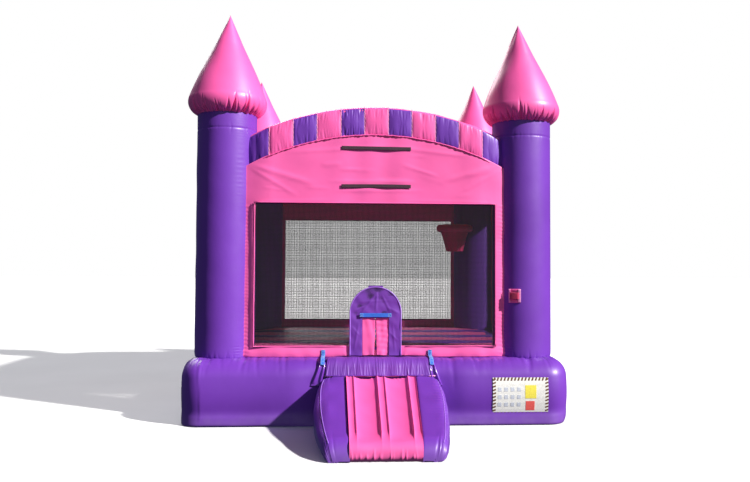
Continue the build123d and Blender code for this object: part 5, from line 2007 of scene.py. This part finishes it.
# ---- stage
@dataclass
class Studio:
    """Pale floor, a low key light from the front right, soft fill, a rear light and the camera."""

    eye: tuple[float, float, float] = (-0.2427, -9.6623, 1.6246)
    turn_right: float = 3.197
    look_up: float = 2.222
    roll: float = 0.257
    lens: float = 37.06
    shift: tuple[float, float] = (-0.0270, -0.0145)
    sensor: float = 36.0
    sight: float = 200.0
    floor_half: float = 60.0
    lamps: tuple[tuple[str, float, float, float, float, Colour], ...] = (
        ("key", 60.0, 33.0, 7.0, 2.5, (1.0, 0.97, 0.93)),
        ("fill", 8.0, 25.0, 0.28, 70.0, (0.95, 0.93, 1.0)),
        ("rear", 198.0, 40.0, 2.2, 40.0, (1.0, 0.99, 0.97)))
    surroundings: float = 0.12
    sky: Colour = (0.55, 0.63, 1.0)

    def camera(self) -> None:
        """Set the camera at the viewing place."""
        data = bpy.data.cameras.new("camera")
        data.lens, data.sensor_width = self.lens, self.sensor
        data.shift_x, data.shift_y = self.shift
        data.clip_end = self.sight
        camera = bpy.data.objects.new("camera", data)
        aim = (Matrix.Rotation(-math.radians(self.turn_right), 4, "Z")
               @ Matrix.Rotation(math.radians(90 + self.look_up), 4, "X")
               @ Matrix.Rotation(math.radians(self.roll), 4, "Z"))
        camera.matrix_world = Matrix.Translation(Vector(self.eye)) @ aim
        bpy.context.scene.collection.objects.link(camera)
        bpy.context.scene.camera = camera

    def light(self, name: str, turn: float, height: float, strength: float, spread: float,
              tint: Colour) -> None:
        """A distant light that comes from turn degrees right of the entrance, height degrees up.

        Args:
            name: the lamp's name.
            turn: direction it comes from.
            height: its height.
            strength: its strength.
            spread: its apparent size in degrees.
            tint: its colour.
        """
        data = bpy.data.lights.new(name, "SUN")
        data.energy, data.angle, data.color = strength, math.radians(spread), tint
        lamp = bpy.data.objects.new(name, data)
        a, e = math.radians(turn), math.radians(height)
        source = Vector((math.sin(a) * math.cos(e), -math.cos(a) * math.cos(e), math.sin(e)))
        lamp.rotation_euler = source.to_track_quat("Z", "Y").to_euler()
        bpy.context.scene.collection.objects.link(lamp)

    def world(self) -> None:
        """Pale surroundings that give a weaker, cooler fill than they show."""
        world = bpy.data.worlds.new("surroundings")
        bpy.context.scene.world = world
        world.use_nodes = True
        tree = world.node_tree
        fill = tree.nodes["Background"]
        fill.inputs["Color"].default_value = (*self.sky, 1.0)
        fill.inputs["Strength"].default_value = self.surroundings
        seen = tree.nodes.new("ShaderNodeBackground")
        seen.inputs["Color"].default_value = (1.0, 1.0, 1.0, 1.0)
        seen.inputs["Strength"].default_value = 1.0
        path, mix = tree.nodes.new("ShaderNodeLightPath"), tree.nodes.new("ShaderNodeMixShader")
        tree.links.new(path.outputs["Is Camera Ray"], mix.inputs["Fac"])
        tree.links.new(fill.outputs[0], mix.inputs[1])
        tree.links.new(seen.outputs[0], mix.inputs[2])
        tree.links.new(mix.outputs[0], tree.nodes["World Output"].inputs["Surface"])

    def floor(self) -> None:
        """The pale floor."""
        size = self.floor_half
        corners = np.array([(x * size, y * size, 0) for x, y in ((-1, -1), (1, -1), (1, 1), (-1, 1))], float)
        floor = solid("floor", corners, [[0, 1, 2, 3]])
        nodes = Nodes("pale_floor")
        tone = nodes.ramp(nodes.noise(0.8, 3.0), 0.3, 0.7, (0.86, 0.86, 0.86), (0.90, 0.90, 0.90))
        nodes.join(tone, nodes.shader.inputs["Base Color"])
        nodes.shader.inputs["Roughness"].default_value = 0.9
        floor.data.materials.append(nodes.material)
        floor.visible_diffuse = False
        floor.visible_glossy = False

    def build(self) -> None:
        """Set up the whole stage."""
        bpy.context.scene.view_settings.view_transform = "Standard"
        self.camera()
        for lamp in self.lamps:
            self.light(*lamp)
        self.world()
        self.floor()


def main() -> None:
    """Build the bounce house and its stage."""
    logging.basicConfig(level=logging.INFO, format="%(name)s: %(message)s")
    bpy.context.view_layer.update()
    Studio().build()
    Base().build()
    Tower("front_left", (0.015, 0.0), seed=200).build()
    Tower("front_right", (-0.030, 0.0), seed=220, drop=0.042).build()
    Tower("back_left", (-0.012, -0.01), seed=240, spire_around=400).build()
    Tower("back_right", (-0.020, -0.01), seed=260, spire_around=400).build()
    walls = {side: Wall(side) for side in Side}
    for wall in walls.values():
        wall.build()
    Roof().build(walls[Side.FRONT])
    Door().build()
    Ramp().build()
    RampAttachment().build()
    Fittings().build()


if __name__ == "__main__":
    main()
